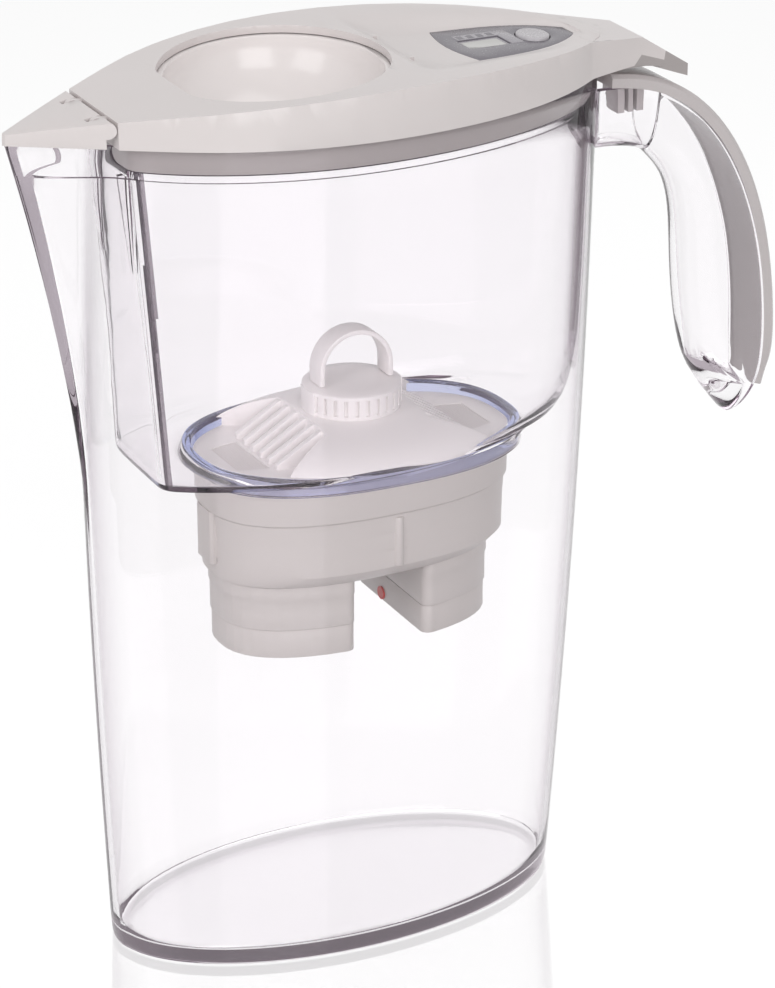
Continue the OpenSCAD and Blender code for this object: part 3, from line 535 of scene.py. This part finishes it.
@dataclass(frozen=True)
class DrawnSteel:
    """Stainless steel wire and pins, drawn bright, with fine lines along the draw.

    Args:
        name: the material's name.
        colour: colour of the metal.
        lines: spacing of the drawing lines in millimetres.
    """

    name: str
    colour: str = "#C6C5C3"
    lines: float = 0.15

    def build(self) -> bpy.types.Material:
        """Makes the material: metal whose gloss is uneven across the drawing lines."""
        material, tree, out = new_material(self.name)
        place = add(tree, "ShaderNodeTexCoord").outputs["Object"]
        # Stretched along Y, the way the pins lie
        drawn = add(tree, "ShaderNodeMapping", {"Vector": place, "Scale": (1.0, 0.05, 1.0)})
        lines = add(
            tree,
            "ShaderNodeTexNoise",
            {"Vector": drawn.outputs["Vector"], "Scale": 1 / (self.lines * MM), "Detail": 3.0},
        ).outputs["Fac"]
        rough = add(
            tree, "ShaderNodeMapRange", {"Value": lines, "To Min": 0.18, "To Max": 0.34}
        ).outputs["Result"]
        bump = add(tree, "ShaderNodeBump", {"Height": lines, "Distance": 0.004 * MM})
        body = add(
            tree,
            "ShaderNodeBsdfPrincipled",
            {
                "Base Color": linear(self.colour),
                "Metallic": 1.0,
                "Roughness": rough,
                "Normal": bump.outputs["Normal"],
            },
        )
        tree.links.new(body.outputs[0], out.inputs["Surface"])
        return material


class Finish(Enum):
    """The pitcher's finishes, by what they are made of, with lighter and darker copies that are
    painted light and painted shade.
    """

    # Styrene from a polished tool is bright and clear, with no grain
    JUG = ClearPlastic("Clear_styrene_jug")
    HOPPER = ClearPlastic("Clear_styrene_hopper")
    # The rounded edge of a clear wall bends light away, so it looks dark from most sides; this
    # copy paints that as painted shade, a darker tint on softened edges and corners
    EDGE = ClearPlastic(
        "Clear_styrene_edge_painted_shade",
        tint="#8A8088",
        turned=((0.0, "#8A8088"), (0.4, "#5E555C"), (0.7, "#3A3338"), (0.95, "#1E1A1E")),
        glint="#B4AEB4",
    )
    # ABS from a semi-gloss tool mirrors a lamp as a soft bright patch
    LID = MouldedPlastic("ABS_warm_grey_lid", "#D6CFCE", "#D1CAC9", (0.26, 0.34))
    # The skirt is of the lid's plastic, painted deeper as painted shade for the shade under the
    # overhang
    SKIRT = MouldedPlastic("ABS_warm_grey_skirt_painted_shade", "#A69F9E", "#A19A99", (0.3, 0.38))
    # The bowl is of the lid's plastic, painted lighter as painted light
    BOWL = MouldedPlastic("ABS_warm_grey_bowl_painted_light", "#E9E3E2", "#E4DEDD", (0.14, 0.2))
    # Polypropylene from a fine-eroded tool has a soft, waxy sheen. The upper moulding is of the
    # body's plastic, painted lighter as painted light against the lid's shade and one more clear
    # wall in front of it
    CARTRIDGE = MouldedPlastic("Polypropylene_warm_white", "#CEC8C5", "#C9C3C0", (0.34, 0.44))
    CARTRIDGE_TOP = MouldedPlastic("Polypropylene_white_painted_light", "#F8F5F3", "#F4F1EF", (0.3, 0.4))
    STRIP = MouldedPlastic("ABS_grip_strip", "#C4BDBD", "#BEB7B7", (0.22, 0.3))
    PANEL = MouldedPlastic("ABS_slate_panel", "#6C676F", "#66616A", (0.22, 0.3))
    # Printed ink lies even and a little flatter than the plastic under it
    FIELD = MouldedPlastic("Printed_grey_field", "#A19DA3", "#9B979D", (0.24, 0.3))
    BUTTON = MouldedPlastic("ABS_grey_button", "#B9B5B9", "#B2AEB2", (0.24, 0.3))
    # A polished pane over an unlit display reads as one even grey, with a sharp gloss
    WINDOW = MouldedPlastic("Display_pane_grey_green", "#C4C3C0", "#BDBCB9", (0.1, 0.14))
    # A cast elastomer with a blue tint deepens fast where it is thick
    SEAL = ClearPlastic(
        "Clear_blue_elastomer_seal",
        tint="#E4E8F6",
        turned=((0.1, "#DDE2F4"), (0.5, "#A9B3DC"), (0.8, "#5A66AE"), (0.97, "#23286E")),
        glint="#A8B0D0",
        absorb="#A3AAD6",
        density=40.0,
    )
    # Coloured through, so its edges are as red as its face
    MARKER = MouldedPlastic("Polypropylene_red_marker", "#C8362B", "#BF3228", (0.3, 0.4))
    MESH = WovenMesh("Nylon_filter_mesh")
    BOARD = Laminate("Glass_laminate_board")
    STEEL = DrawnSteel("Drawn_steel")

    @property
    def material(self) -> bpy.types.Material:
        """The built material, made on first use."""
        return bpy.data.materials.get(self.value.name) or self.value.build()


# --- Sub-assemblies --------------------------------------------------------------------


@dataclass
class SubAssembly:
    """Pieces that share a body of the frame.

    Args:
        body: the frame's body that they ride on.
        made: the pieces finished so far, for the log.
    """

    body: str
    made: list[bpy.types.Object] = field(default_factory=list)

    def keep(self, node: str, finish: Finish) -> None:
        """Leaves a node's shape as it is and gives it a finish.

        Args:
            node: the frame's node.
            finish: its finish.
        """
        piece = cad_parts[node]
        piece.data.materials.clear()
        piece.data.materials.append(finish.material)
        self.made.append(piece)

    def dress(
        self,
        node: str,
        finish: Finish,
        slot: str,
        soften: float = 0.0,
        crease: float = 30.0,
        rounds: int = 1,
        edge: Finish | None = None,
    ) -> bpy.types.Object:
        """Stands a joined, rounded and smoothly shaded copy in for a node.

        Args:
            node: the frame's node.
            finish: the copy's finish.
            slot: the record's material slot.
            soften: radius of the softened edges, in millimetres.
            crease: edges sharper than this many degrees stay creased.
            rounds: how many times the curved faces are subdivided.
            edge: finish of the softened edges, where it differs, such as the clear walls' painted
                shade.

        Returns:
            The copy.
        """
        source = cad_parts[node]
        name = node.replace("shell", "wall").capitalize()
        piece = bpy.data.objects.new(name, source.data.copy())
        bpy.context.scene.collection.objects.link(piece)
        piece.data.materials.clear()
        for part in (finish, edge) if edge else (finish,):
            piece.data.materials.append(part.material)
        only(piece)
        bpy.ops.mesh.customdata_custom_splitnormals_clear()
        bpy.ops.object.mode_set(mode="EDIT")
        bpy.ops.mesh.select_all(action="SELECT")
        bpy.ops.mesh.remove_doubles(threshold=MERGE)
        if rounds:
            bpy.ops.mesh.tris_convert_to_quads(
                face_threshold=QUAD_BEND, shape_threshold=QUAD_SKEW
            )
            bpy.ops.mesh.select_all(action="DESELECT")
            bpy.ops.mesh.select_mode(type="EDGE")
            bpy.ops.mesh.edges_select_sharp(sharpness=math.radians(crease))
            bpy.ops.transform.edge_crease(value=1.0)
        else:
            bpy.ops.mesh.dissolve_limited(angle_limit=FLAT)
        bpy.ops.object.mode_set(mode="OBJECT")
        if rounds:
            modify(piece, "SUBSURF", levels=rounds, render_levels=rounds)
        if soften:
            modify(
                piece,
                "BEVEL",
                width=soften * MM,
                segments=2,
                limit_method="ANGLE",
                angle_limit=math.radians(crease),
                material=1 if edge else -1,
            )
        smooth(piece, crease)
        self.stand_in(piece, node, slot)
        return piece

    def stand_in(self, piece: bpy.types.Object, node: str, slot: str) -> None:
        """Seats a finished piece on the body, in place of a node.

        Args:
            piece: the finished piece.
            node: the node that it stands for.
            slot: the record's material slot; not used.
        """
        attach(piece, self.body)
        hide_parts(node)
        self.made.append(piece)


@dataclass
class Jug(SubAssembly):
    """The clear jug with its hollow grip and the strip on its back."""

    body: str = "jug"

    def build(self) -> None:
        """Dresses the shell, the grip and the strip."""
        # The softened edges of the shell and grip are painted dark with the edge finish, as
        # painted shade
        self.dress("jug_shell", Finish.JUG, "clear_jug", soften=0.3, edge=Finish.EDGE)
        self.dress(
            "handle_grip",
            Finish.JUG,
            "clear_jug",
            soften=0.3,
            crease=42,
            rounds=3,
            edge=Finish.EDGE,
        )
        self.dress("handle_strip", Finish.STRIP, "grip_strip", soften=0.35, rounds=2)


@dataclass
class Hopper(SubAssembly):
    """The clear lift-out hopper and the seal round its opening.

    Args:
        bend_x: the two front corners lie forward of this, in millimetres, as below.
        bend_y: how near to and how far from the middle plane they lie.
        bend_turn: how far the normals of the middle of each bend point along X.
        bend_lean: the steepest that they point up or down.
    """

    body: str = "hopper"
    bend_x: float = -54.0
    bend_y: tuple[float, float] = (12.5, 21.5)
    bend_turn: tuple[float, float] = (0.715, 0.83)
    bend_lean: float = 0.3

    def build(self) -> None:
        """Dresses the tub and its seal."""
        # The tub's softened edges are painted dark with the edge finish, as painted shade
        tub = self.dress(
            "hopper_tub", Finish.HOPPER, "clear_hopper", soften=0.25, rounds=2, edge=Finish.EDGE
        )
        self.darken_corners(tub)
        self.dress("opening_seal", Finish.SEAL, "seal", soften=0.2, rounds=2)

    def darken_corners(self, tub: bpy.types.Object) -> None:
        """Paints the narrow bend of the tub's two front corners with the edge finish's painted
        shade.

        Args:
            tub: the dressed tub.
        """
        inner, outer = (y * MM for y in self.bend_y)
        least, most = self.bend_turn

        def bent(face: bpy.types.MeshPolygon) -> bool:
            """Tells whether a face lies in the middle of a front corner's bend."""
            near = face.center.x < self.bend_x * MM and inner < abs(face.center.y) < outer
            turned = least < abs(face.normal.x) < most
            return near and turned and abs(face.normal.z) < self.bend_lean

        # Painted shade: the bends get the darker tint of the edge finish
        paint(tub, Finish.EDGE, bent)


@dataclass
class Cartridge(SubAssembly):
    """The filter cartridge: body, legs, ribbed dome, knob and carrying loop.

    Args:
        flutes: how many slots stand round the knob.
        flute_edge: land between a flute and its neighbour, in millimetres, as all below.
        flute_depth: depth of a flute.
        flute_foot: height of the plain foot below the flutes.
        flute_rim: height of the plain rim above them.
        bare_half: half width of the plain panel under each of the loop's legs.
        bare_rise: how far that panel stands out.
        knob_crown: rise of the knob's domed top.
        crown_steps: width of each step of the dome, with its share of the rise.
        strap: thickness of the loop's strap.
        bend_steps: how many steps the loop's bend has.
    """

    body: str = "cartridge"
    flutes: int = 28
    flute_edge: float = 0.06
    flute_depth: float = 1.1
    flute_foot: float = 1.0
    flute_rim: float = 1.0
    bare_half: float = 4.6
    bare_rise: float = 0.5
    knob_crown: float = 1.0
    crown_steps: tuple[tuple[float, float], ...] = ((0.7, 0.45), (4.0, 0.4), (4.5, 0.15))
    strap: float = 1.5
    bend_steps: int = 32

    def build(self) -> None:
        """Dresses every piece of the cartridge."""
        for node in ("leg_base_front", "leg_base_rear"):
            self.dress(node, Finish.CARTRIDGE, "cartridge_shell", soften=0.3)
        body = self.dress("cartridge_body", Finish.CARTRIDGE, "cartridge_shell", soften=0.3)
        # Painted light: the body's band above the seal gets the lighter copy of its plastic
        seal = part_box("opening_seal")[0].z
        paint(body, Finish.CARTRIDGE_TOP, lambda face: face.center.z > seal)
        # The dome is painted light too, in the lighter copy
        self.dress("cartridge_dome", Finish.CARTRIDGE_TOP, "cartridge_shell", soften=0.2, rounds=0)
        self.knob()
        self.loop()
        self.keep("flow_marker", Finish.MARKER)
        for node in ("inlet_mesh_front", "inlet_mesh_rear"):
            self.keep(node, Finish.MESH)

    def knob(self) -> None:
        """Models the fluted knob, plain where the loop's legs stand."""
        low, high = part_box("knob_cap")
        centre_x, crown = (low.x + high.x) / 2, self.knob_crown * MM
        top = high.z - crown
        step = math.tau / (3 * self.flutes)
        piece = begin(
            bpy.ops.mesh.primitive_cylinder_add,
            "Knob",
            vertices=3 * self.flutes,
            radius=(high.x - low.x) / 2,
            depth=top - low.z,
            location=(centre_x, 0.0, (top + low.z) / 2),
        )
        foot, rim = low.z + self.flute_foot * MM, top - self.flute_rim * MM
        for z in (foot, rim):
            cut((0.0, 0.0, z), (0.0, 0.0, 1.0))

        def bare(face: bmesh.types.BMFace) -> bool:
            """Tells whether a side face lies under one of the loop's legs."""
            centre = face.calc_center_median()
            return abs(face.normal.z) < SIDE and abs(centre.y) < self.bare_half * MM

        def fluted(face: bmesh.types.BMFace) -> bool:
            """Tells whether a face is every third one of the middle band."""
            centre = face.calc_center_median()
            turn = math.atan2(centre.y, centre.x - centre_x) % math.tau
            third = int(turn / step) % 3 == 1
            return third and foot < centre.z < rim and not bare(face)

        pick(piece, fluted)
        bpy.ops.mesh.inset(
            thickness=self.flute_edge * MM, depth=-self.flute_depth * MM, use_individual=True
        )
        pick(piece, bare)
        bpy.ops.mesh.extrude_region_shrink_fatten(
            TRANSFORM_OT_shrink_fatten={"value": self.bare_rise * MM}
        )
        # The crown is the one large upward face; the flutes' ledges and panels' tops are small
        pick(piece, lambda face: face.normal.z > UP and face.calc_area() > 100 * MM**2)
        for thickness, depth in self.crown_steps:
            bpy.ops.mesh.inset(thickness=thickness * MM, depth=depth * crown)
        # The knob is painted light, in the lighter copy of the cartridge's plastic
        close(piece, Finish.CARTRIDGE_TOP, 0.15)
        self.stand_in(piece, "knob_cap", "cartridge_shell")

    def loop(self) -> None:
        """Models the carrying loop: a strap that goes up, over and down."""
        low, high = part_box("carrying_loop")
        radius = (high.x - low.x) / 2
        turn_z, strap = high.z - radius, self.strap * MM
        piece = begin(
            bpy.ops.mesh.primitive_cube_add,
            "Carrying_loop",
            size=1.0,
            location=(low.x + strap / 2, 0.0, (low.z + turn_z) / 2),
            scale=(strap, high.y - low.y, turn_z - low.z),
        )
        pick(piece, lambda face: face.normal.z > UP)
        bpy.ops.mesh.spin(
            steps=self.bend_steps,
            angle=-math.pi,
            center=(low.x + radius, 0.0, turn_z),
            axis=(0.0, 1.0, 0.0),
        )
        bpy.ops.mesh.extrude_region_move(
            TRANSFORM_OT_translate={"value": (0.0, 0.0, low.z - turn_z)}
        )
        # The loop is painted light, in the lighter copy of the cartridge's plastic
        close(piece, Finish.CARTRIDGE_TOP, 0.35)
        self.stand_in(piece, "carrying_loop", "cartridge_shell")


@dataclass
class Lid(SubAssembly):
    """The lid's shell, with the skirt that plugs into the jug.

    Args:
        skirt_top: height where the skirt meets the shell's overhang, in millimetres.
    """

    body: str = "lid"
    skirt_top: float = 250.5

    def build(self) -> None:
        """Dresses the shell and paints its skirt deeper, as painted shade under the overhang."""
        shell = self.dress("lid_shell", Finish.LID, "lid", soften=0.8)
        top = self.skirt_top * MM
        # Painted shade: every upright face of the shell below the skirt's top gets the deeper copy
        # of the lid's plastic
        paint(shell, Finish.SKIRT, lambda face: face.center.z < top and abs(face.normal.z) < SIDE)


@dataclass
class Display(SubAssembly):
    """The lid's display: a dark panel with a printed field, a window and its electronics.

    Args:
        field_front: front edge of the printed field along X, in millimetres, as all below.
        field_end: its rear edge.
        field_half: its half width.
        field_rise: how far it stands above the panel.
        field_depth: its thickness.
        field_gap: the gap between it and the window.
        bars: how many framed cells lie beside the window.
        bar_land: land round each cell.
        bar_step: width and depth of the step down to its floor.
        frame_land: width of the window's frame.
        frame_step: width and depth of the step down to the pane.
    """

    body: str = "lid"
    field_front: float = 43.0
    field_end: float = 59.4
    field_half: float = 8.7
    field_rise: float = 0.06
    field_depth: float = 0.3
    field_gap: float = 0.35
    bars: int = 4
    bar_land: float = 0.5
    bar_step: tuple[float, float] = (0.25, 0.12)
    frame_land: float = 0.5
    frame_step: tuple[float, float] = (0.1, 0.2)

    def build(self) -> None:
        """Dresses the panel and models the window and the field round it."""
        self.dress("display_panel", Finish.PANEL, "panel", soften=0.2)
        self.window()
        self.printed_field()
        self.keep("display_board", Finish.BOARD)
        self.keep("coin_cell", Finish.STEEL)

    def window(self) -> None:
        """Models the window: a pane sunk in a narrow frame."""
        low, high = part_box("display_window")
        piece = begin(
            bpy.ops.mesh.primitive_cube_add,
            "Display_window",
            size=1.0,
            location=(low + high) / 2,
            scale=high - low,
        )
        pick(piece, lambda face: face.normal.z > UP)
        width, depth = self.frame_step
        bpy.ops.mesh.inset(thickness=self.frame_land * MM)
        bpy.ops.mesh.inset(thickness=width * MM, depth=-depth * MM)
        close(piece, Finish.FIELD, 0.05)
        reach = (high - low) / 2 - Vector((1.0, 1.0, 0.0)) * (self.frame_land + width / 2) * MM

        def pane(face: bpy.types.MeshPolygon) -> bool:
            """Tells whether a face belongs to the pane inside the frame."""
            away = face.center - (low + high) / 2
            return face.normal.z > UP and abs(away.x) < reach.x and abs(away.y) < reach.y

        paint(piece, Finish.WINDOW, pane)
        self.stand_in(piece, "display_window", "window")

    def printed_field(self) -> None:
        """Models the L-shaped grey field, with a row of framed cells beside the window."""
        low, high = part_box("display_window")
        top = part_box("display_panel")[1].z + self.field_rise * MM
        strip, gap = self.field_depth * MM, self.field_gap * MM
        front, end, half = (v * MM for v in (self.field_front, self.field_end, self.field_half))
        near = high.y + gap
        piece = begin(
            bpy.ops.mesh.primitive_cube_add,
            "Printed_field",
            size=1.0,
            location=((front + end) / 2, (near + half) / 2, top - strip / 2),
            scale=(end - front, half - near, strip),
        )
        corner = high.x + gap
        cut((corner, 0.0, 0.0), (1.0, 0.0, 0.0))
        pick(piece, lambda face: face.normal.y < -UP and face.calc_center_median().x > corner)
        bpy.ops.mesh.extrude_region_move(
            TRANSFORM_OT_translate={"value": (0.0, low.y - near - gap, 0.0)}
        )
        for i in range(1, self.bars):
            cut((front + (corner - front) * i / self.bars, 0.0, 0.0), (1.0, 0.0, 0.0))

        def cell(face: bmesh.types.BMFace) -> bool:
            """Tells whether a face is the top of a cell beside the window."""
            centre = face.calc_center_median()
            return face.normal.z > UP and centre.x < corner and centre.y > near

        pick(piece, cell)
        width, depth = self.bar_step
        bpy.ops.mesh.inset(thickness=self.bar_land * MM, use_individual=True)
        bpy.ops.mesh.inset(thickness=width * MM, depth=-depth * MM, use_individual=True)
        close(piece, Finish.FIELD, 0.03)
        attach(piece, self.body)
        self.made.append(piece)


@dataclass
class SpoutCover(SubAssembly):
    """The hinged cover over the spout."""

    body: str = "cover"

    def build(self) -> None:
        """Dresses the cover and its pins."""
        self.dress("spout_cover", Finish.LID, "lid", soften=0.8)
        for node in ("cover_pin_left", "cover_pin_right"):
            self.keep(node, Finish.STEEL)


@dataclass
class FillingBowl(SubAssembly):
    """The tilting bowl under the mouth of the lid."""

    body: str = "bowl"

    def build(self) -> None:
        """Dresses the bowl, its pin and its spring."""
        # Painted light: the bowl gets the lighter copy of the lid's plastic
        self.dress("filling_bowl", Finish.BOWL, "lid", soften=0.3, rounds=0)
        for node in ("bowl_pin", "bowl_spring"):
            self.keep(node, Finish.STEEL)


@dataclass
class ResetButton(SubAssembly):
    """The button that restarts the display's count.

    Args:
        shoulder: height of the button's rounded shoulder, in millimetres.
        profile: width of each step from its edge inwards, with its share of that height.
    """

    body: str = "button"
    shoulder: float = 0.4
    profile: tuple[tuple[float, float], ...] = (
        (0.15, 0.45),
        (0.25, 0.4),
        (0.5, 0.15),
        (1.0, -0.3),
        (1.2, -0.2),
    )

    def build(self) -> None:
        """Models the oval button with its round shoulder and shallow dish."""
        low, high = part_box("reset_button")
        rise = self.shoulder * MM
        piece = begin(
            bpy.ops.mesh.primitive_cylinder_add,
            "Reset_button",
            vertices=64,
            radius=0.5,
            depth=1.0,
            location=((low.x + high.x) / 2, 0.0, (low.z + high.z - rise) / 2),
            scale=(high.x - low.x, high.y - low.y, high.z - low.z - rise),
        )
        pick(piece, lambda face: face.normal.z > UP)
        for thickness, depth in self.profile:
            bpy.ops.mesh.inset(thickness=thickness * MM, depth=depth * rise)
        close(piece, Finish.BUTTON, 0.05, 40.0)
        self.stand_in(piece, "reset_button", "button")


# --- Studio ----------------------------------------------------------------------------


@dataclass(frozen=True)
class Lamp:
    """A soft area lamp.

    Args:
        name: its name.
        place: where it stands, in metres.
        size: its width and height.
        power: its power in watts.
    """

    name: str
    place: tuple[float, float, float]
    size: tuple[float, float]
    power: float

    def build(self, target: Vector) -> None:
        """Sets the lamp up.

        Args:
            target: the point that it faces.
        """
        data = bpy.data.lights.new(self.name, "AREA")
        data.shape = "RECTANGLE"
        data.size, data.size_y = self.size
        data.energy = self.power
        lamp = bpy.data.objects.new(self.name, data)
        lamp.location = self.place
        lamp.rotation_euler = (target - Vector(self.place)).to_track_quat("-Z", "Y").to_euler()
        bpy.context.scene.collection.objects.link(lamp)


@dataclass
class Studio:
    """A pale glossy floor, soft light and the camera.

    Args:
        eye: where the camera stands, in metres, as below.
        target: what it looks at.
        lens: its focal length in millimetres.
        aim: what the lamps face.
        floor_side: the floor's side.
        floor_colour: its colour.
        floor_lift: how much white it adds where it is seen.
        floor_shine: how much of it mirrors.
        air: strength of the sky's light on the pitcher; where it is seen it is 1.
        lamps: the lamps.
    """

    eye: tuple[float, float, float] = (-0.4168, -0.8752, 0.5497)
    target: tuple[float, float, float] = (0.0186, 0.0, 0.127)
    lens: float = 132.72
    aim: tuple[float, float, float] = (0.0, 0.0, 0.12)
    floor_side: float = 9.0
    floor_colour: str = "#D6D6D6"
    floor_lift: float = 0.5
    floor_shine: float = 0.3
    air: float = 0.44
    lamps: tuple[Lamp, ...] = (
        Lamp("Front_lamp", (-0.3, -1.6, 0.85), (1.1, 1.4), 14.0),
        Lamp("Overhead_lamp", (0.35, 0.3, 1.7), (1.1, 1.1), 5.5),
        Lamp("Side_lamp", (-1.5, -0.5, 0.8), (0.9, 1.2), 8.0),
    )

    def build(self) -> None:
        """Makes the floor, world, lamps and camera."""
        self.floor()
        self.world()
        for lamp in self.lamps:
            lamp.build(Vector(self.aim))
        data = bpy.data.cameras.new("Camera")
        data.sensor_width = 36.0
        data.lens = self.lens
        camera = bpy.data.objects.new("Camera", data)
        camera.location = self.eye
        away = Vector(self.eye) - Vector(self.target)
        camera.rotation_euler = away.to_track_quat("Z", "Y").to_euler()
        bpy.context.scene.collection.objects.link(camera)
        bpy.context.scene.camera = camera
        bpy.context.scene.view_settings.view_transform = "Standard"

    @staticmethod
    def seen(tree: bpy.types.NodeTree) -> bpy.types.NodeSocket:
        """Gives 1 for rays that come from the eye, straight or by way of gloss or glass.

        Args:
            tree: the material's or the world's tree.

        Returns:
            The output socket.
        """
        path = add(tree, "ShaderNodeLightPath")
        either = add(
            tree,
            "ShaderNodeMath",
            {0: path.outputs["Is Camera Ray"], 1: path.outputs["Is Transmission Ray"]},
            operation="MAXIMUM",
        )
        return add(
            tree,
            "ShaderNodeMath",
            {0: either.outputs[0], 1: path.outputs["Is Glossy Ray"]},
            operation="MAXIMUM",
        ).outputs[0]

    def floor(self) -> None:
        """Lays a polished white floor that keeps the shadow and a faint mirror image."""
        bpy.ops.object.select_all(action="DESELECT")
        bpy.ops.mesh.primitive_plane_add(size=self.floor_side)
        floor = bpy.context.object
        floor.name = "Floor"
        material, tree, out = new_material("Gloss_white_floor")
        place = add(tree, "ShaderNodeTexCoord").outputs["Object"]
        # Polish of the sheet, drawn in patches some 80 mm wide, leaves its gloss a little uneven
        polish = add(tree, "ShaderNodeTexNoise", {"Vector": place, "Scale": 12.0, "Detail": 2.0})
        rough = add(
            tree,
            "ShaderNodeMapRange",
            {"Value": polish.outputs["Fac"], "To Min": 0.03, "To Max": 0.07},
        ).outputs["Result"]
        matt = add(tree, "ShaderNodeBsdfDiffuse", {"Color": linear(self.floor_colour)})
        lift = add(tree, "ShaderNodeEmission", {"Strength": self.floor_lift})
        lit = add(tree, "ShaderNodeAddShader", {0: matt.outputs[0], 1: lift.outputs[0]})
        gloss = add(tree, "ShaderNodeBsdfGlossy", {"Color": linear("#FFFFFF"), "Roughness": rough})
        polished = add(
            tree,
            "ShaderNodeMixShader",
            {0: self.floor_shine, 1: lit.outputs[0], 2: gloss.outputs[0]},
        )
        mixed = add(
            tree,
            "ShaderNodeMixShader",
            {0: self.seen(tree), 1: matt.outputs[0], 2: polished.outputs[0]},
        )
        tree.links.new(mixed.outputs[0], out.inputs["Surface"])
        floor.data.materials.append(material)

    def world(self) -> None:
        """Gives an even pale sky, white where it is seen."""
        world = bpy.data.worlds.new("Studio_air")
        bpy.context.scene.world = world
        world.use_nodes = True
        tree = world.node_tree
        tree.nodes.clear()
        level = add(
            tree,
            "ShaderNodeMapRange",
            {"Value": self.seen(tree), "To Min": self.air, "To Max": 1.0},
        )
        air = add(
            tree,
            "ShaderNodeBackground",
            {"Color": linear("#FFFFFF"), "Strength": level.outputs["Result"]},
        )
        out = add(tree, "ShaderNodeOutputWorld")
        tree.links.new(air.outputs[0], out.inputs["Surface"])


def main() -> None:
    """Builds every sub-assembly and the studio."""
    logging.basicConfig(level=logging.INFO, format="%(name)s: %(message)s")
    parts = (Jug(), Hopper(), Cartridge(), Lid(), Display())
    parts += (SpoutCover(), FillingBowl(), ResetButton())
    for part in parts:
        part.build()
        for piece in part.made:
            log.info("%s rides on %s, %d faces", piece.name, part.body, len(piece.data.polygons))
    Studio().build()


if __name__ == "__main__":
    main()
